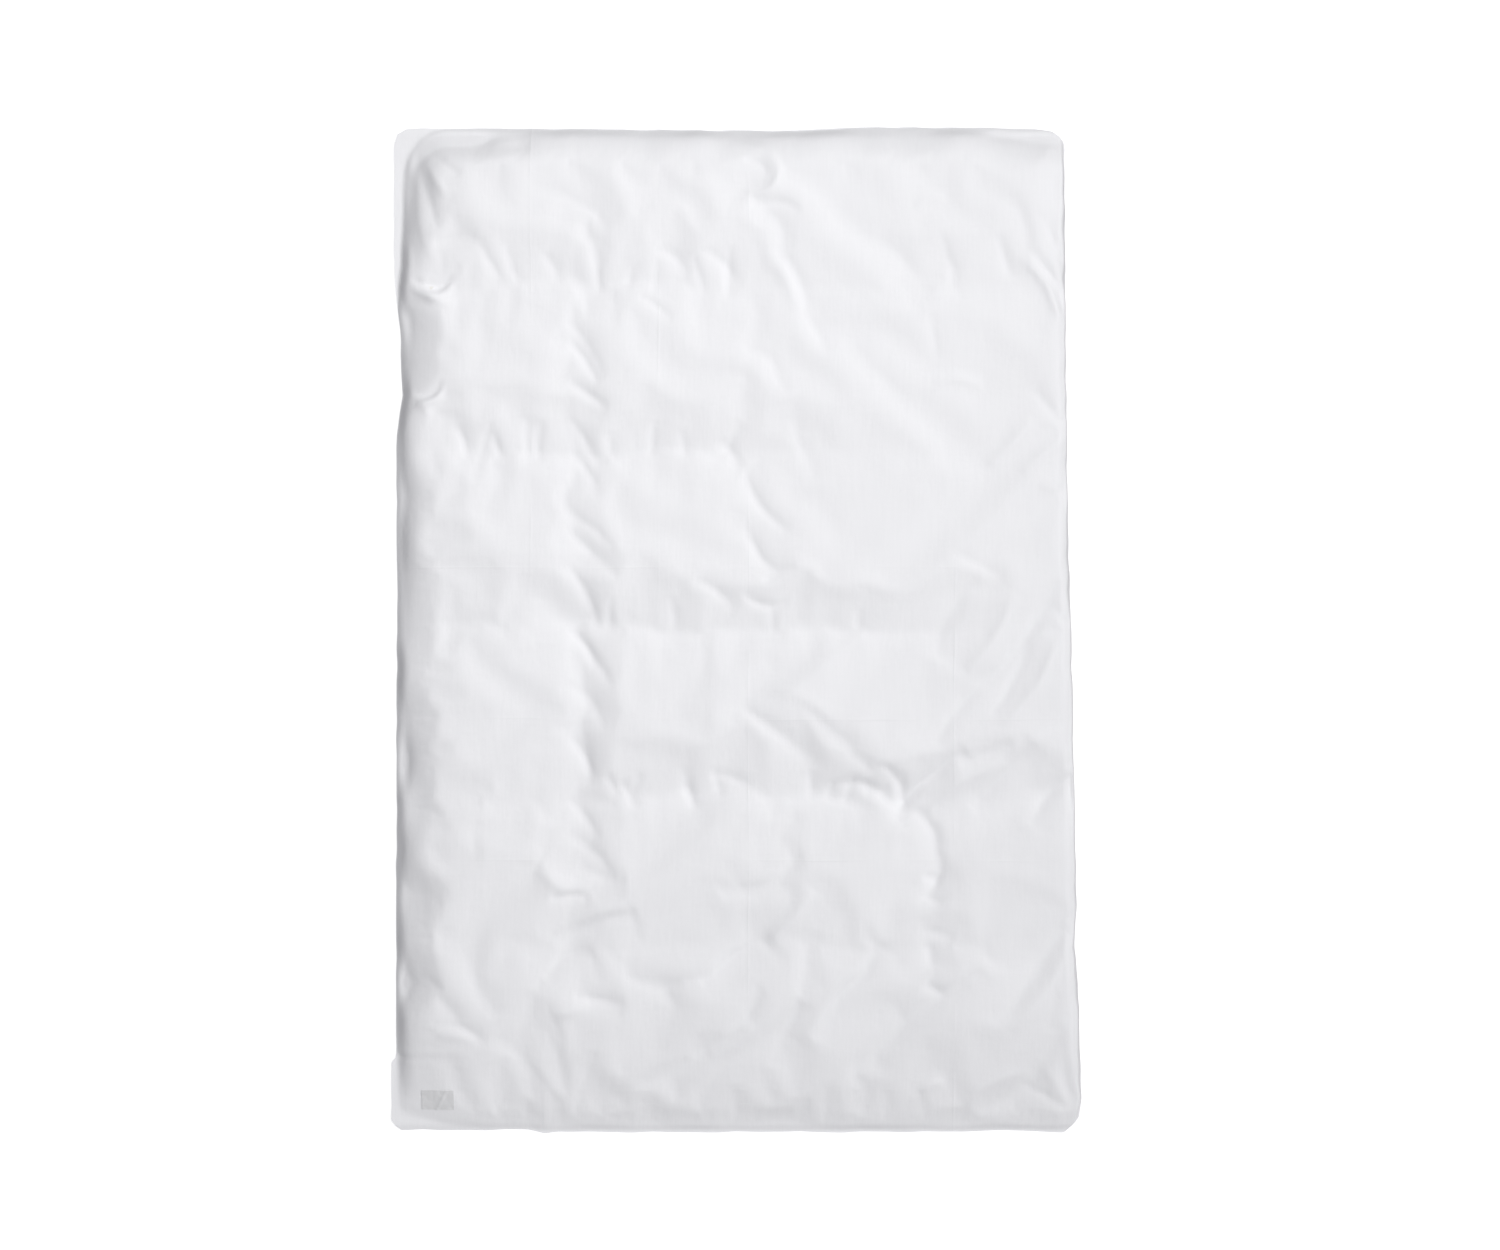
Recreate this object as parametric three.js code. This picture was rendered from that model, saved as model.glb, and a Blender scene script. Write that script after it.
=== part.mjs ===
// A filled duvet in its cover, lying flat: a cover cut 140 x 200 cm round a down duvet that is sewn
// into 4 x 6 boxes. Filled, it draws in to about 133 x 195 cm.
// Millimetres. +Z is up, +Y points to the head end, +X to the right seen from above, and the origin is
// under the middle of the cover, in the plane that it lies on.
import * as THREE from "three";

// ---- Driving dimensions: the cover ----
const COVER_LENGTH = 1945;
const COVER_FOOT_WIDTH = 1332;
const HEAD_NARROWING = 28; // how much less wide the head end is, all taken from the right side
const COVER_CLOTH = 0.6;
const SEAM_ALLOWANCE = 8; // flat strip where the top and back panels are sewn together

// ---- Driving dimensions: the mouth, in the foot edge ----
const MOUTH_WIDTH = 750;
const HEM_DEPTH = 60;
const HEM_CLOTH = 0.8; // a hem is several layers
const SNAP_COUNT = 5;
const SNAP_PITCH = 150;
const SNAP_RADIUS = 6;
const STUD_BASE = 1;
const STUD_NUB_RADIUS = 1.7;
const STUD_NUB_HEIGHT = 1.6;
const SOCKET_HEIGHT = 2.3;
const SOCKET_PLAY = 0.8; // between the nub and the socket's hole, so that the hem can swing open
const SNAP_SIDES = 12;

// ---- Driving dimensions: the duvet inside ----
const COLUMNS = 4;
const ROWS = 6;
const BOX_WIDTH = 340; // between lengthwise seams
const BOX_LENGTH = 318; // between crosswise seams
const MIDDLE_SEAM_X = 31;
const MIDDLE_SEAM_Y = 12;
const SIDE_MARGIN = 16; // from the cover's edge to the piping
const HEAD_MARGIN = 16;
const FOOT_MARGIN = 100; // the duvet doesn't reach the foot edge, so that the cover lies flat there
const CASING_CLOTH = 0.5;
const CASING_FLANGE = 5; // flat strip where the casing's top and bottom are sewn together
const FLANGE_TO_FILL = 6;
const PIPING_SIZE = 4;
const PIPING_CHAMFER = 1.2;
const BAFFLE_CLOTH = 0.5;
const SLOT_CLEARANCE = 0.3;
const SHOULDER = 0.25; // share of a box's width over which its filling rises to full height

// ---- Driving dimensions: heights of the filling ----
const FILL_TOP = 62; // top of a puff
const FILL_BOTTOM = 1.8;
const SEAM_TOP = 36; // at the top and bottom of a baffle
const SEAM_BOTTOM = 9;
const EDGE_HEIGHT = 18; // of the casing's outer seam
const EDGE_FILL = 6; // thickness of the filling at its outer edge

// ---- Driving dimensions: the labels ----
const LABEL_WIDTH = 63;
const LABEL_HEIGHT = 38;
const LABEL_CLOTH = 0.5;
const LABEL_FROM_LEFT = 61;
const LABEL_FROM_FOOT = 50;
const CARE_LABEL_LENGTH = 50;
const CARE_LABEL_WIDTH = 30;
const CARE_LABEL_CLOTH = 0.4;
const CARE_LABEL_FROM_SEAM = 2;
const CARE_LABEL_FROM_FOOT = 30;

const GAP = 0.3; // between pieces that touch

// ---- Levels and lines worked out from the driving dimensions ----
const LEFT = -COVER_FOOT_WIDTH / 2;
const RIGHT = COVER_FOOT_WIDTH / 2;
const FOOT = -COVER_LENGTH / 2;
const HEAD = COVER_LENGTH / 2;
const HEM_LINE = FOOT + HEM_DEPTH;
const FACING_BOTTOM = COVER_CLOTH + GAP;
const STUD_BOTTOM = FACING_BOTTOM + HEM_CLOTH + GAP;
const SOCKET_BOTTOM = STUD_BOTTOM + STUD_BASE + GAP;
const MOUTH_LEVEL = SOCKET_BOTTOM + SOCKET_HEIGHT + GAP; // underside of the band over the mouth
const INSERT = {
  left: LEFT + SIDE_MARGIN,
  right: RIGHT - SIDE_MARGIN,
  foot: FOOT + FOOT_MARGIN,
  head: HEAD - HEAD_MARGIN,
};
const CASING_INSET = PIPING_SIZE + GAP;
const FILL_INSET = CASING_INSET + CASING_FLANGE + FLANGE_TO_FILL;
const COVER_OVER_FILL = GAP + CASING_CLOTH + GAP; // from the filling up to the cover

// ---- Finishes ----
const finish = (color, roughness) => new THREE.MeshStandardMaterial({ color, roughness, metalness: 0 });
const COVER_COTTON = finish(0xf1f1f3, 0.85);
const CASING_COTTON = finish(0xf6f5f1, 0.8);
const BAFFLE_COTTON = finish(0xe9e8e4, 0.85);
const DOWN = finish(0xfafaf7, 0.95);
const LABEL_SATIN = finish(0xdadadd, 0.4);
const SNAP_PLASTIC = finish(0xe8eaec, 0.3);

const duvet = new THREE.Group();

/** Narrows the shape towards the head end, keeping the left side straight. */
function narrow(geometry) {
  const position = geometry.getAttribute("position");
  for (let k = 0; k < position.count; k++) {
    const across = (position.getX(k) - LEFT) / COVER_FOOT_WIDTH;
    const along = (position.getY(k) - FOOT) / COVER_LENGTH;
    position.setX(k, position.getX(k) - HEAD_NARROWING * across * along);
  }
  geometry.deleteAttribute("uv");
  geometry.computeVertexNormals();
  return geometry;
}

function addPiece(name, geometry, material) {
  const piece = new THREE.Mesh(narrow(geometry), material);
  piece.name = name;
  duvet.add(piece);
}

/**
 * A closed solid over a grid of lines xs by ys, from low(i, j) up to high(i, j) at each crossing.
 * Cells for which isCut(i, j) is true are left out, and get walls round them.
 */
function gridSolid(xs, ys, low, high, isCut = () => false) {
  const vertices = [];
  const faces = [];
  const corner = (i, j, isHigh) => 2 * (j * xs.length + i) + (isHigh ? 1 : 0);
  const isThere = (i, j) => i >= 0 && j >= 0 && i < xs.length - 1 && j < ys.length - 1 && !isCut(i, j);
  for (let j = 0; j < ys.length; j++) {
    for (let i = 0; i < xs.length; i++) {
      vertices.push(xs[i], ys[j], low(i, j), xs[i], ys[j], high(i, j));
    }
  }
  const addFour = (a, b, c, d) => faces.push(a, b, c, a, c, d);
  const addWall = (a, b) => addFour(corner(...a, false), corner(...b, false), corner(...b, true), corner(...a, true));
  for (let j = 0; j < ys.length - 1; j++) {
    for (let i = 0; i < xs.length - 1; i++) {
      if (!isThere(i, j)) continue;
      const ring = [[i, j], [i + 1, j], [i + 1, j + 1], [i, j + 1]];
      const neighbours = [[i, j - 1], [i + 1, j], [i, j + 1], [i - 1, j]];
      const high4 = ring.map(([a, b]) => corner(a, b, true));
      const low4 = ring.map(([a, b]) => corner(a, b, false));
      addFour(...high4);
      faces.push(low4[0], low4[2], low4[1], low4[0], low4[3], low4[2]);
      neighbours.forEach((cell, side) => {
        if (!isThere(...cell)) addWall(ring[side], ring[(side + 1) % 4]);
      });
    }
  }
  return indexed(vertices, faces);
}

/** A geometry of the vertices that the faces use, three numbers each. */
function indexed(vertices, faces) {
  const used = [...new Set(faces)];
  const renumbered = new Map(used.map((old, k) => [old, k]));
  const geometry = new THREE.BufferGeometry();
  const kept = used.flatMap((old) => vertices.slice(3 * old, 3 * old + 3));
  geometry.setAttribute("position", new THREE.Float32BufferAttribute(kept, 3));
  geometry.setIndex(faces.map((old) => renumbered.get(old)));
  return geometry;
}

/** A flat plate with its lower left corner at x, y and its underside at z. */
function plate(x, y, z, width, depth, thickness) {
  const geometry = new THREE.BoxGeometry(width, depth, thickness);
  return geometry.translate(x + width / 2, y + depth / 2, z + thickness / 2);
}

// ---- The duvet's lines ----
/** Where the filling of each box starts and ends along one axis. */
function boxSpans(count, middleSeam, pitch, start, end) {
  const inset = BAFFLE_CLOTH / 2 + GAP;
  const seams = seamPlaces(count, middleSeam, pitch);
  return Array.from({ length: count }, (_, k) => ({
    start: k === 0 ? start + FILL_INSET : seams[k - 1] + inset,
    end: k === count - 1 ? end - FILL_INSET : seams[k] - inset,
  }));
}

function seamPlaces(count, middleSeam, pitch) {
  return Array.from({ length: count - 1 }, (_, k) => middleSeam + (k + 1 - count / 2) * pitch);
}

/** The lines of the filling's grid along one axis: four for each box, with the heights there. */
function fillLines(spans) {
  const seam = { top: SEAM_TOP, bottom: SEAM_BOTTOM };
  const edge = { top: EDGE_HEIGHT + EDGE_FILL / 2, bottom: EDGE_HEIGHT - EDGE_FILL / 2 };
  const full = { top: FILL_TOP, bottom: FILL_BOTTOM };
  return spans.flatMap(({ start, end }, k) => {
    const shoulder = SHOULDER * (end - start);
    return [
      { at: start, ...(k === 0 ? edge : seam) },
      { at: start + shoulder, ...full },
      { at: end - shoulder, ...full },
      { at: end, ...(k === spans.length - 1 ? edge : seam) },
    ];
  });
}

const columnSpans = boxSpans(COLUMNS, MIDDLE_SEAM_X, BOX_WIDTH, INSERT.left, INSERT.right);
const rowSpans = boxSpans(ROWS, MIDDLE_SEAM_Y, BOX_LENGTH, INSERT.foot, INSERT.head);
const columnLines = fillLines(columnSpans);
const rowLines = fillLines(rowSpans);
const LINES_PER_BOX = 4;

/** Down filling of one box; row 1 is at the head end. */
function addDownPad(row, column) {
  const across = columnLines.slice((column - 1) * LINES_PER_BOX, column * LINES_PER_BOX);
  const fromFoot = ROWS - row;
  const along = rowLines.slice(fromFoot * LINES_PER_BOX, (fromFoot + 1) * LINES_PER_BOX);
  const pad = gridSolid(
    across.map((line) => line.at),
    along.map((line) => line.at),
    (i, j) => Math.max(across[i].bottom, along[j].bottom),
    (i, j) => Math.min(across[i].top, along[j].top),
  );
  addPiece(`down_pad_r${row}_c${column}`, pad, DOWN);
}

/** The filling's lines along one axis, with the two lines of the flat flange at each end. */
function casingLines(lines, start, end) {
  const flange = { top: EDGE_HEIGHT - GAP / 2, bottom: EDGE_HEIGHT + GAP / 2 };
  return [
    { at: start + CASING_INSET, ...flange },
    { at: start + CASING_INSET + CASING_FLANGE, ...flange },
    ...lines,
    { at: end - CASING_INSET - CASING_FLANGE, ...flange },
    { at: end - CASING_INSET, ...flange },
  ];
}

function addCasing() {
  const across = casingLines(columnLines, INSERT.left, INSERT.right);
  const along = casingLines(rowLines, INSERT.foot, INSERT.head);
  const xs = across.map((line) => line.at);
  const ys = along.map((line) => line.at);
  const overFill = (i, j) => Math.min(across[i].top, along[j].top) + GAP;
  const underFill = (i, j) => Math.max(across[i].bottom, along[j].bottom) - GAP;
  const top = gridSolid(xs, ys, overFill, (i, j) => overFill(i, j) + CASING_CLOTH);
  const bottom = gridSolid(xs, ys, (i, j) => underFill(i, j) - CASING_CLOTH, underFill);
  addPiece("insert_casing_top", top, CASING_COTTON);
  addPiece("insert_casing_bottom", bottom, CASING_COTTON);
}

// ---- Baffles: upright strips under the seams, half-lapped where they cross ----
/**
 * Outline of a baffle along one axis, as a shape with height as its second coordinate.
 * It follows the filling's lines and has a slot at each crossing.
 */
function baffleOutline(lines, crossings, slotsAreOnTop) {
  const outer = [lines[0], lines[1], lines[lines.length - 2], lines[lines.length - 1]];
  const tops = outer.map((line) => new THREE.Vector2(line.at, Math.min(line.top, SEAM_TOP)));
  const bottoms = outer.map((line) => new THREE.Vector2(line.at, Math.max(line.bottom, SEAM_BOTTOM)));
  const middle = (SEAM_TOP + SEAM_BOTTOM) / 2;
  const halfSlot = BAFFLE_CLOTH / 2 + SLOT_CLEARANCE;
  const level = slotsAreOnTop ? SEAM_TOP : SEAM_BOTTOM;
  const slotEnd = slotsAreOnTop ? middle - GAP / 2 : middle + GAP / 2;
  const slots = crossings.flatMap((at) => [
    new THREE.Vector2(at - halfSlot, level),
    new THREE.Vector2(at - halfSlot, slotEnd),
    new THREE.Vector2(at + halfSlot, slotEnd),
    new THREE.Vector2(at + halfSlot, level),
  ]);
  const edge = (points) => [points[0], points[1], ...slots, points[2], points[3]];
  const lower = slotsAreOnTop ? bottoms : edge(bottoms);
  const upper = slotsAreOnTop ? edge(tops) : tops;
  return new THREE.Shape([...lower, ...upper.reverse()]);
}

function addBaffles() {
  const columnSeams = seamPlaces(COLUMNS, MIDDLE_SEAM_X, BOX_WIDTH);
  const rowSeams = seamPlaces(ROWS, MIDDLE_SEAM_Y, BOX_LENGTH);
  const strip = { depth: BAFFLE_CLOTH, bevelEnabled: false };
  const alongX = new THREE.Matrix4().makeBasis(
    new THREE.Vector3(1, 0, 0),
    new THREE.Vector3(0, 0, 1),
    new THREE.Vector3(0, -1, 0),
  );
  const alongY = new THREE.Matrix4().makeBasis(
    new THREE.Vector3(0, 1, 0),
    new THREE.Vector3(0, 0, 1),
    new THREE.Vector3(1, 0, 0),
  );
  [...rowSeams].reverse().forEach((y, k) => {
    const outline = baffleOutline(columnLines, columnSeams, true);
    const baffle = new THREE.ExtrudeGeometry(outline, strip).applyMatrix4(alongX);
    addPiece(`crosswise_baffle_${k + 1}`, baffle.translate(0, y + BAFFLE_CLOTH / 2, 0), BAFFLE_COTTON);
  });
  columnSeams.forEach((x, k) => {
    const outline = baffleOutline(rowLines, rowSeams, false);
    const baffle = new THREE.ExtrudeGeometry(outline, strip).applyMatrix4(alongY);
    addPiece(`lengthwise_baffle_${k + 1}`, baffle.translate(x - BAFFLE_CLOTH / 2, 0, 0), BAFFLE_COTTON);
  });
}

/** The four corners of a rectangle whose sides lie this far inside the duvet's outline. */
function insertRectangle(inset) {
  return [
    new THREE.Vector2(INSERT.left + inset, INSERT.foot + inset),
    new THREE.Vector2(INSERT.right - inset, INSERT.foot + inset),
    new THREE.Vector2(INSERT.right - inset, INSERT.head - inset),
    new THREE.Vector2(INSERT.left + inset, INSERT.head - inset),
  ];
}

/** Corded piping round the casing's outer seam. */
function addPiping() {
  const ring = new THREE.Shape(insertRectangle(0));
  ring.holes.push(new THREE.Path(insertRectangle(PIPING_SIZE)));
  const piping = new THREE.ExtrudeGeometry(ring, {
    depth: PIPING_SIZE - 2 * PIPING_CHAMFER,
    bevelEnabled: true,
    bevelSegments: 1,
    bevelThickness: PIPING_CHAMFER,
    bevelSize: PIPING_CHAMFER,
    bevelOffset: -PIPING_CHAMFER,
  });
  piping.translate(0, 0, EDGE_HEIGHT - PIPING_SIZE / 2 + PIPING_CHAMFER);
  addPiece("insert_edge_piping", piping, CASING_COTTON);
}

// ---- The cover ----
const PIPING_CLEARANCE = 3;
const SEAM_LEVEL = COVER_CLOTH + GAP; // the top panel lies on the back panel along the seams
const EDGE_LEVEL = EDGE_HEIGHT + EDGE_FILL / 2 + COVER_OVER_FILL;
const PUFF_LEVEL = FILL_TOP + COVER_OVER_FILL;
const HEM_RISE = 16; // from the seam allowance up to the level of the mouth
const FOOT_RISE = 8; // from the level of the mouth up to the duvet's edge

/** Height of the cover's underside over a side or the head end, from the edge to the first puff. */
function coverLines(edge, margin, fillStart, puffStart, inwards) {
  return [
    { at: edge, level: SEAM_LEVEL },
    { at: edge + inwards * SEAM_ALLOWANCE, level: SEAM_LEVEL },
    { at: edge + inwards * (margin - PIPING_CLEARANCE), level: EDGE_LEVEL },
    { at: fillStart, level: EDGE_LEVEL },
    { at: puffStart, level: PUFF_LEVEL },
  ];
}

/** The same at the foot end, where the cover first runs level over the mouth. */
function footLines() {
  const overPiping = FOOT + FOOT_MARGIN - PIPING_CLEARANCE;
  return [
    { at: FOOT, level: SEAM_LEVEL },
    { at: FOOT + SEAM_ALLOWANCE, level: SEAM_LEVEL },
    { at: FOOT + SEAM_ALLOWANCE + HEM_RISE, level: MOUTH_LEVEL },
    { at: HEM_LINE, level: MOUTH_LEVEL },
    { at: overPiping - FOOT_RISE, level: MOUTH_LEVEL },
    { at: overPiping, level: EDGE_LEVEL },
    { at: rowLines[0].at, level: EDGE_LEVEL },
    { at: rowLines[1].at, level: PUFF_LEVEL },
  ];
}

function addCoverTop() {
  const [firstFill, firstPuff] = columnLines;
  const [lastPuff, lastFill] = columnLines.slice(-2);
  const [headPuff, headFill] = rowLines.slice(-2);
  const across = [
    ...coverLines(LEFT, SIDE_MARGIN, firstFill.at, firstPuff.at, 1),
    { at: -MOUTH_WIDTH / 2, level: PUFF_LEVEL },
    { at: MOUTH_WIDTH / 2, level: PUFF_LEVEL },
    ...coverLines(RIGHT, SIDE_MARGIN, lastFill.at, lastPuff.at, -1).reverse(),
  ];
  const along = [
    ...footLines(),
    ...coverLines(HEAD, HEAD_MARGIN, headFill.at, headPuff.at, -1).reverse(),
  ];
  const underside = (i, j) => Math.min(across[i].level, along[j].level);
  const isMouth = (i, j) => across[i].at === -MOUTH_WIDTH / 2 && along[j].at < HEM_LINE;
  const top = gridSolid(
    across.map((line) => line.at),
    along.map((line) => line.at),
    underside,
    (i, j) => underside(i, j) + COVER_CLOTH,
    isMouth,
  );
  addPiece("cover_top_panel", top, COVER_COTTON);
}

function addCoverBack() {
  addPiece("cover_back_panel", plate(LEFT, FOOT, 0, COVER_FOOT_WIDTH, COVER_LENGTH, COVER_CLOTH), COVER_COTTON);
}

/** Two hems at the mouth: the band swings up about the hem line, the facing stays on the back panel. */
function addMouthHems() {
  const left = -MOUTH_WIDTH / 2 + GAP;
  const width = MOUTH_WIDTH - 2 * GAP;
  const depth = HEM_DEPTH - GAP;
  addPiece("mouth_hem_band", plate(left, FOOT, MOUTH_LEVEL, width, depth, HEM_CLOTH), COVER_COTTON);
  addPiece("mouth_hem_facing", plate(left, FOOT, FACING_BOTTOM, width, depth, HEM_CLOTH), COVER_COTTON);
}

function turned(profile, x, y, z) {
  const points = profile.map(([radius, height]) => new THREE.Vector2(radius, height));
  const geometry = new THREE.LatheGeometry(points, SNAP_SIDES);
  return geometry.rotateX(Math.PI / 2).translate(x, y, z);
}

/** Hidden press studs: the stud is sewn to the facing, and its socket under the band. */
function addPressStuds() {
  const y = FOOT + HEM_DEPTH / 2;
  const hole = STUD_NUB_RADIUS + SOCKET_PLAY;
  const stud = [
    [0, 0],
    [SNAP_RADIUS, 0],
    [SNAP_RADIUS, STUD_BASE],
    [STUD_NUB_RADIUS, STUD_BASE],
    [STUD_NUB_RADIUS, STUD_BASE + STUD_NUB_HEIGHT],
    [0, STUD_BASE + STUD_NUB_HEIGHT],
  ];
  const socket = [
    [hole, 0],
    [SNAP_RADIUS, 0],
    [SNAP_RADIUS, SOCKET_HEIGHT],
    [hole, SOCKET_HEIGHT],
    [hole, 0],
  ];
  for (let k = 0; k < SNAP_COUNT; k++) {
    const x = (k - (SNAP_COUNT - 1) / 2) * SNAP_PITCH;
    addPiece(`press_stud_${k + 1}`, turned(stud, x, y, STUD_BOTTOM), SNAP_PLASTIC);
    addPiece(`press_socket_${k + 1}`, turned(socket, x, y, SOCKET_BOTTOM), SNAP_PLASTIC);
  }
}

/** A blank woven label on the cover, and a care label in the left side seam inside it. */
function addLabels() {
  const onTop = MOUTH_LEVEL + COVER_CLOTH + GAP;
  const woven = plate(LEFT + LABEL_FROM_LEFT, FOOT + LABEL_FROM_FOOT, onTop, LABEL_WIDTH, LABEL_HEIGHT, LABEL_CLOTH);
  const seam = LEFT + SEAM_ALLOWANCE + CARE_LABEL_FROM_SEAM;
  const care = plate(
    seam,
    FOOT + CARE_LABEL_FROM_FOOT,
    COVER_CLOTH + GAP,
    CARE_LABEL_LENGTH,
    CARE_LABEL_WIDTH,
    CARE_LABEL_CLOTH,
  );
  addPiece("woven_label", woven, LABEL_SATIN);
  addPiece("care_label", care, LABEL_SATIN);
}

for (let row = 1; row <= ROWS; row++) {
  for (let column = 1; column <= COLUMNS; column++) {
    addDownPad(row, column);
  }
}
addCasing();
addBaffles();
addPiping();
addCoverTop();
addCoverBack();
addMouthHems();
addPressStuds();
addLabels();

export default duvet;
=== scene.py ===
"""The looks of a filled duvet in its white percale cover, lying flat on a pale floor.

The duvet is built as it is made: a cover of a top and a back panel with a mouth in its foot edge, and
inside it a box-stitched insert with its casing, baffles, piping and down fillings. Lengths are in
metres, +Z is up and +Y points to the head end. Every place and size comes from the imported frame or
from the fields of the class that builds the piece.
"""

from __future__ import annotations

import logging
import math
from dataclasses import dataclass, field
from enum import Enum
from typing import Iterable, Sequence

import bpy
import numpy as np
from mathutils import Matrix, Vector


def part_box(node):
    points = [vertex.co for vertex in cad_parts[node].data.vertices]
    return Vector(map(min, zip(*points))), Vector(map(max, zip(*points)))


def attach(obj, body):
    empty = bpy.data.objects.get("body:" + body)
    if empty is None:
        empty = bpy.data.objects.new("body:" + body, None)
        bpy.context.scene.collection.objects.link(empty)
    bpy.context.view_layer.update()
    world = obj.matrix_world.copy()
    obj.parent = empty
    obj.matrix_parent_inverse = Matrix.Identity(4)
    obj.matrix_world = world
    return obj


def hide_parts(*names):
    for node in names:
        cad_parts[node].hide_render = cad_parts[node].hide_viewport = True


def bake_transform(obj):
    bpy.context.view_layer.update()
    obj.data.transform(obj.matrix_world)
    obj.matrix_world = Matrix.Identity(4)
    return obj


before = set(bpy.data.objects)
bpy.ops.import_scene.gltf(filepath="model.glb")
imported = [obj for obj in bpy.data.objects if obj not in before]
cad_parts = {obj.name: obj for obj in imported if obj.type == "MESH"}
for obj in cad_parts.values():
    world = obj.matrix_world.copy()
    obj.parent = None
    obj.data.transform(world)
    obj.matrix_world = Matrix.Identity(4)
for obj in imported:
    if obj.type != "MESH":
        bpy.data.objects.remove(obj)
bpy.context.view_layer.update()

LOG = logging.getLogger("duvet")
Array = np.ndarray
Point2 = tuple[float, float]
ROOT, HEAD_SECTION, MOUTH_FLAP = "root", "head_section", "mouth_flap"
MM = 0.001
TUCK_PEAK = 2.33  # makes a tuck's highest point as high as the fold


# ---------------------------------------------------------------------------------------------
# Small mathematics
# ---------------------------------------------------------------------------------------------
def smooth(t: Array) -> Array:
    """Eases from 0 at t = 0 to 1 at t = 1, level at both ends."""
    t = np.clip(t, 0.0, 1.0)
    return t * t * (3.0 - 2.0 * t)


def bell(distance: Array, width: float) -> Array:
    """A rounded bump that is 1 at no distance and nearly 0 at twice the width."""
    return np.exp(-((distance / width) ** 2))


def soft_noise(x: Array, y: Array, cell: float, seed: int) -> Array:
    """Smooth noise from -1 to 1 with one random value at each corner of a square net.

    Args:
        x: places across, in metres.
        y: places along, in metres.
        cell: side of the net's squares, in metres.
        seed: seed of the random values.

    Returns:
        The noise at each place.
    """
    size = 96
    net = np.random.default_rng(seed).uniform(-1.0, 1.0, (size, size))
    gx, gy = x / cell + size / 2, y / cell + size / 2
    ix, iy = np.floor(gx).astype(int), np.floor(gy).astype(int)
    fx, fy = smooth(gx - ix), smooth(gy - iy)
    a, b = net[ix % size, iy % size], net[(ix + 1) % size, iy % size]
    c, d = net[ix % size, (iy + 1) % size], net[(ix + 1) % size, (iy + 1) % size]
    return (a * (1 - fx) + b * fx) * (1 - fy) + (c * (1 - fx) + d * fx) * fy


# ---------------------------------------------------------------------------------------------
# Meshes
# ---------------------------------------------------------------------------------------------
def make_piece(
    name: str, vertices: Array, faces: Iterable[Sequence[int]], material: bpy.types.Material
) -> bpy.types.Object:
    """Makes a smooth-shaded mesh object.

    Args:
        name: the piece's name.
        vertices: one row of x, y, z for each vertex.
        faces: the corner numbers of each face, in order round it.
        material: the finish.

    Returns:
        The new object, linked to the scene.
    """
    mesh = bpy.data.meshes.new(name)
    mesh.from_pydata([tuple(v) for v in np.asarray(vertices, float)], [], [tuple(f) for f in faces])
    mesh.materials.append(material)
    mesh.polygons.foreach_set("use_smooth", [True] * len(mesh.polygons))
    mesh.update()
    piece = bpy.data.objects.new(name, mesh)
    bpy.context.scene.collection.objects.link(piece)
    return piece


def grid_faces(
    across: int, along: int, keep: Array | None = None, first: int = 0, upside: bool = True
) -> list[tuple[int, ...]]:
    """Faces of a net of vertices that run across first.

    Args:
        across: vertices in a row across.
        along: rows.
        keep: which cells to fill, as a table of along - 1 by across - 1.
        first: number of the net's first vertex.
        upside: whether the faces look up.

    Returns:
        One tuple of four vertex numbers for each cell.
    """
    rows, columns = np.meshgrid(np.arange(along - 1), np.arange(across - 1), indexing="ij")
    if keep is not None:
        rows, columns = rows[keep], columns[keep]
    corner = (first + rows * across + columns).ravel()
    ring = [corner, corner + 1, corner + across + 1, corner + across]
    return list(zip(*(ring if upside else ring[::-1])))


def grid_border(across: int, along: int) -> list[int]:
    """The border vertices of a net of vertices that run across first.

    Args:
        across: vertices in a row across.
        along: rows.

    Returns:
        The vertex numbers, in order round the net.
    """
    count = across * along
    border = [*range(across), *range(2 * across - 1, count, across)]
    return border + [*range(count - 2, count - across - 1, -1), *range(count - 2 * across, 0, -across)]


def border_distance(x: Array, y: Array) -> Array:
    """Distance of each place of a net from the net's own border.

    Args:
        x: places across, as a table.
        y: places along.

    Returns:
        Distances in metres.
    """
    return np.minimum(np.minimum(x - x[:, :1], x[:, -1:] - x), np.minimum(y - y[:1], y[-1:] - y))


def only_used(vertices: Array, faces: list[tuple[int, ...]]) -> tuple[Array, list[tuple[int, ...]]]:
    """Drops the vertices that no face uses and renumbers the faces."""
    used, numbers = np.unique(np.array(faces), return_inverse=True)
    return vertices[used], [tuple(f) for f in numbers.reshape(len(faces), -1)]


def net_sheet(
    name: str,
    x: Array,
    y: Array,
    z: Array,
    material: bpy.types.Material,
    keep: Array | None = None,
    upside: bool = True,
) -> bpy.types.Object:
    """Makes an open sheet from a net of places.

    Args:
        name: the piece's name.
        x: places across, as a table.
        y: places along.
        z: heights.
        material: the finish.
        keep: which cells to fill, or None for all.
        upside: whether the sheet's faces look up.

    Returns:
        The new object.
    """
    vertices = np.stack([x, y, z], -1).reshape(-1, 3)
    faces = grid_faces(x.shape[1], x.shape[0], keep, upside=upside)
    return make_piece(name, *only_used(vertices, faces), material)


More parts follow.
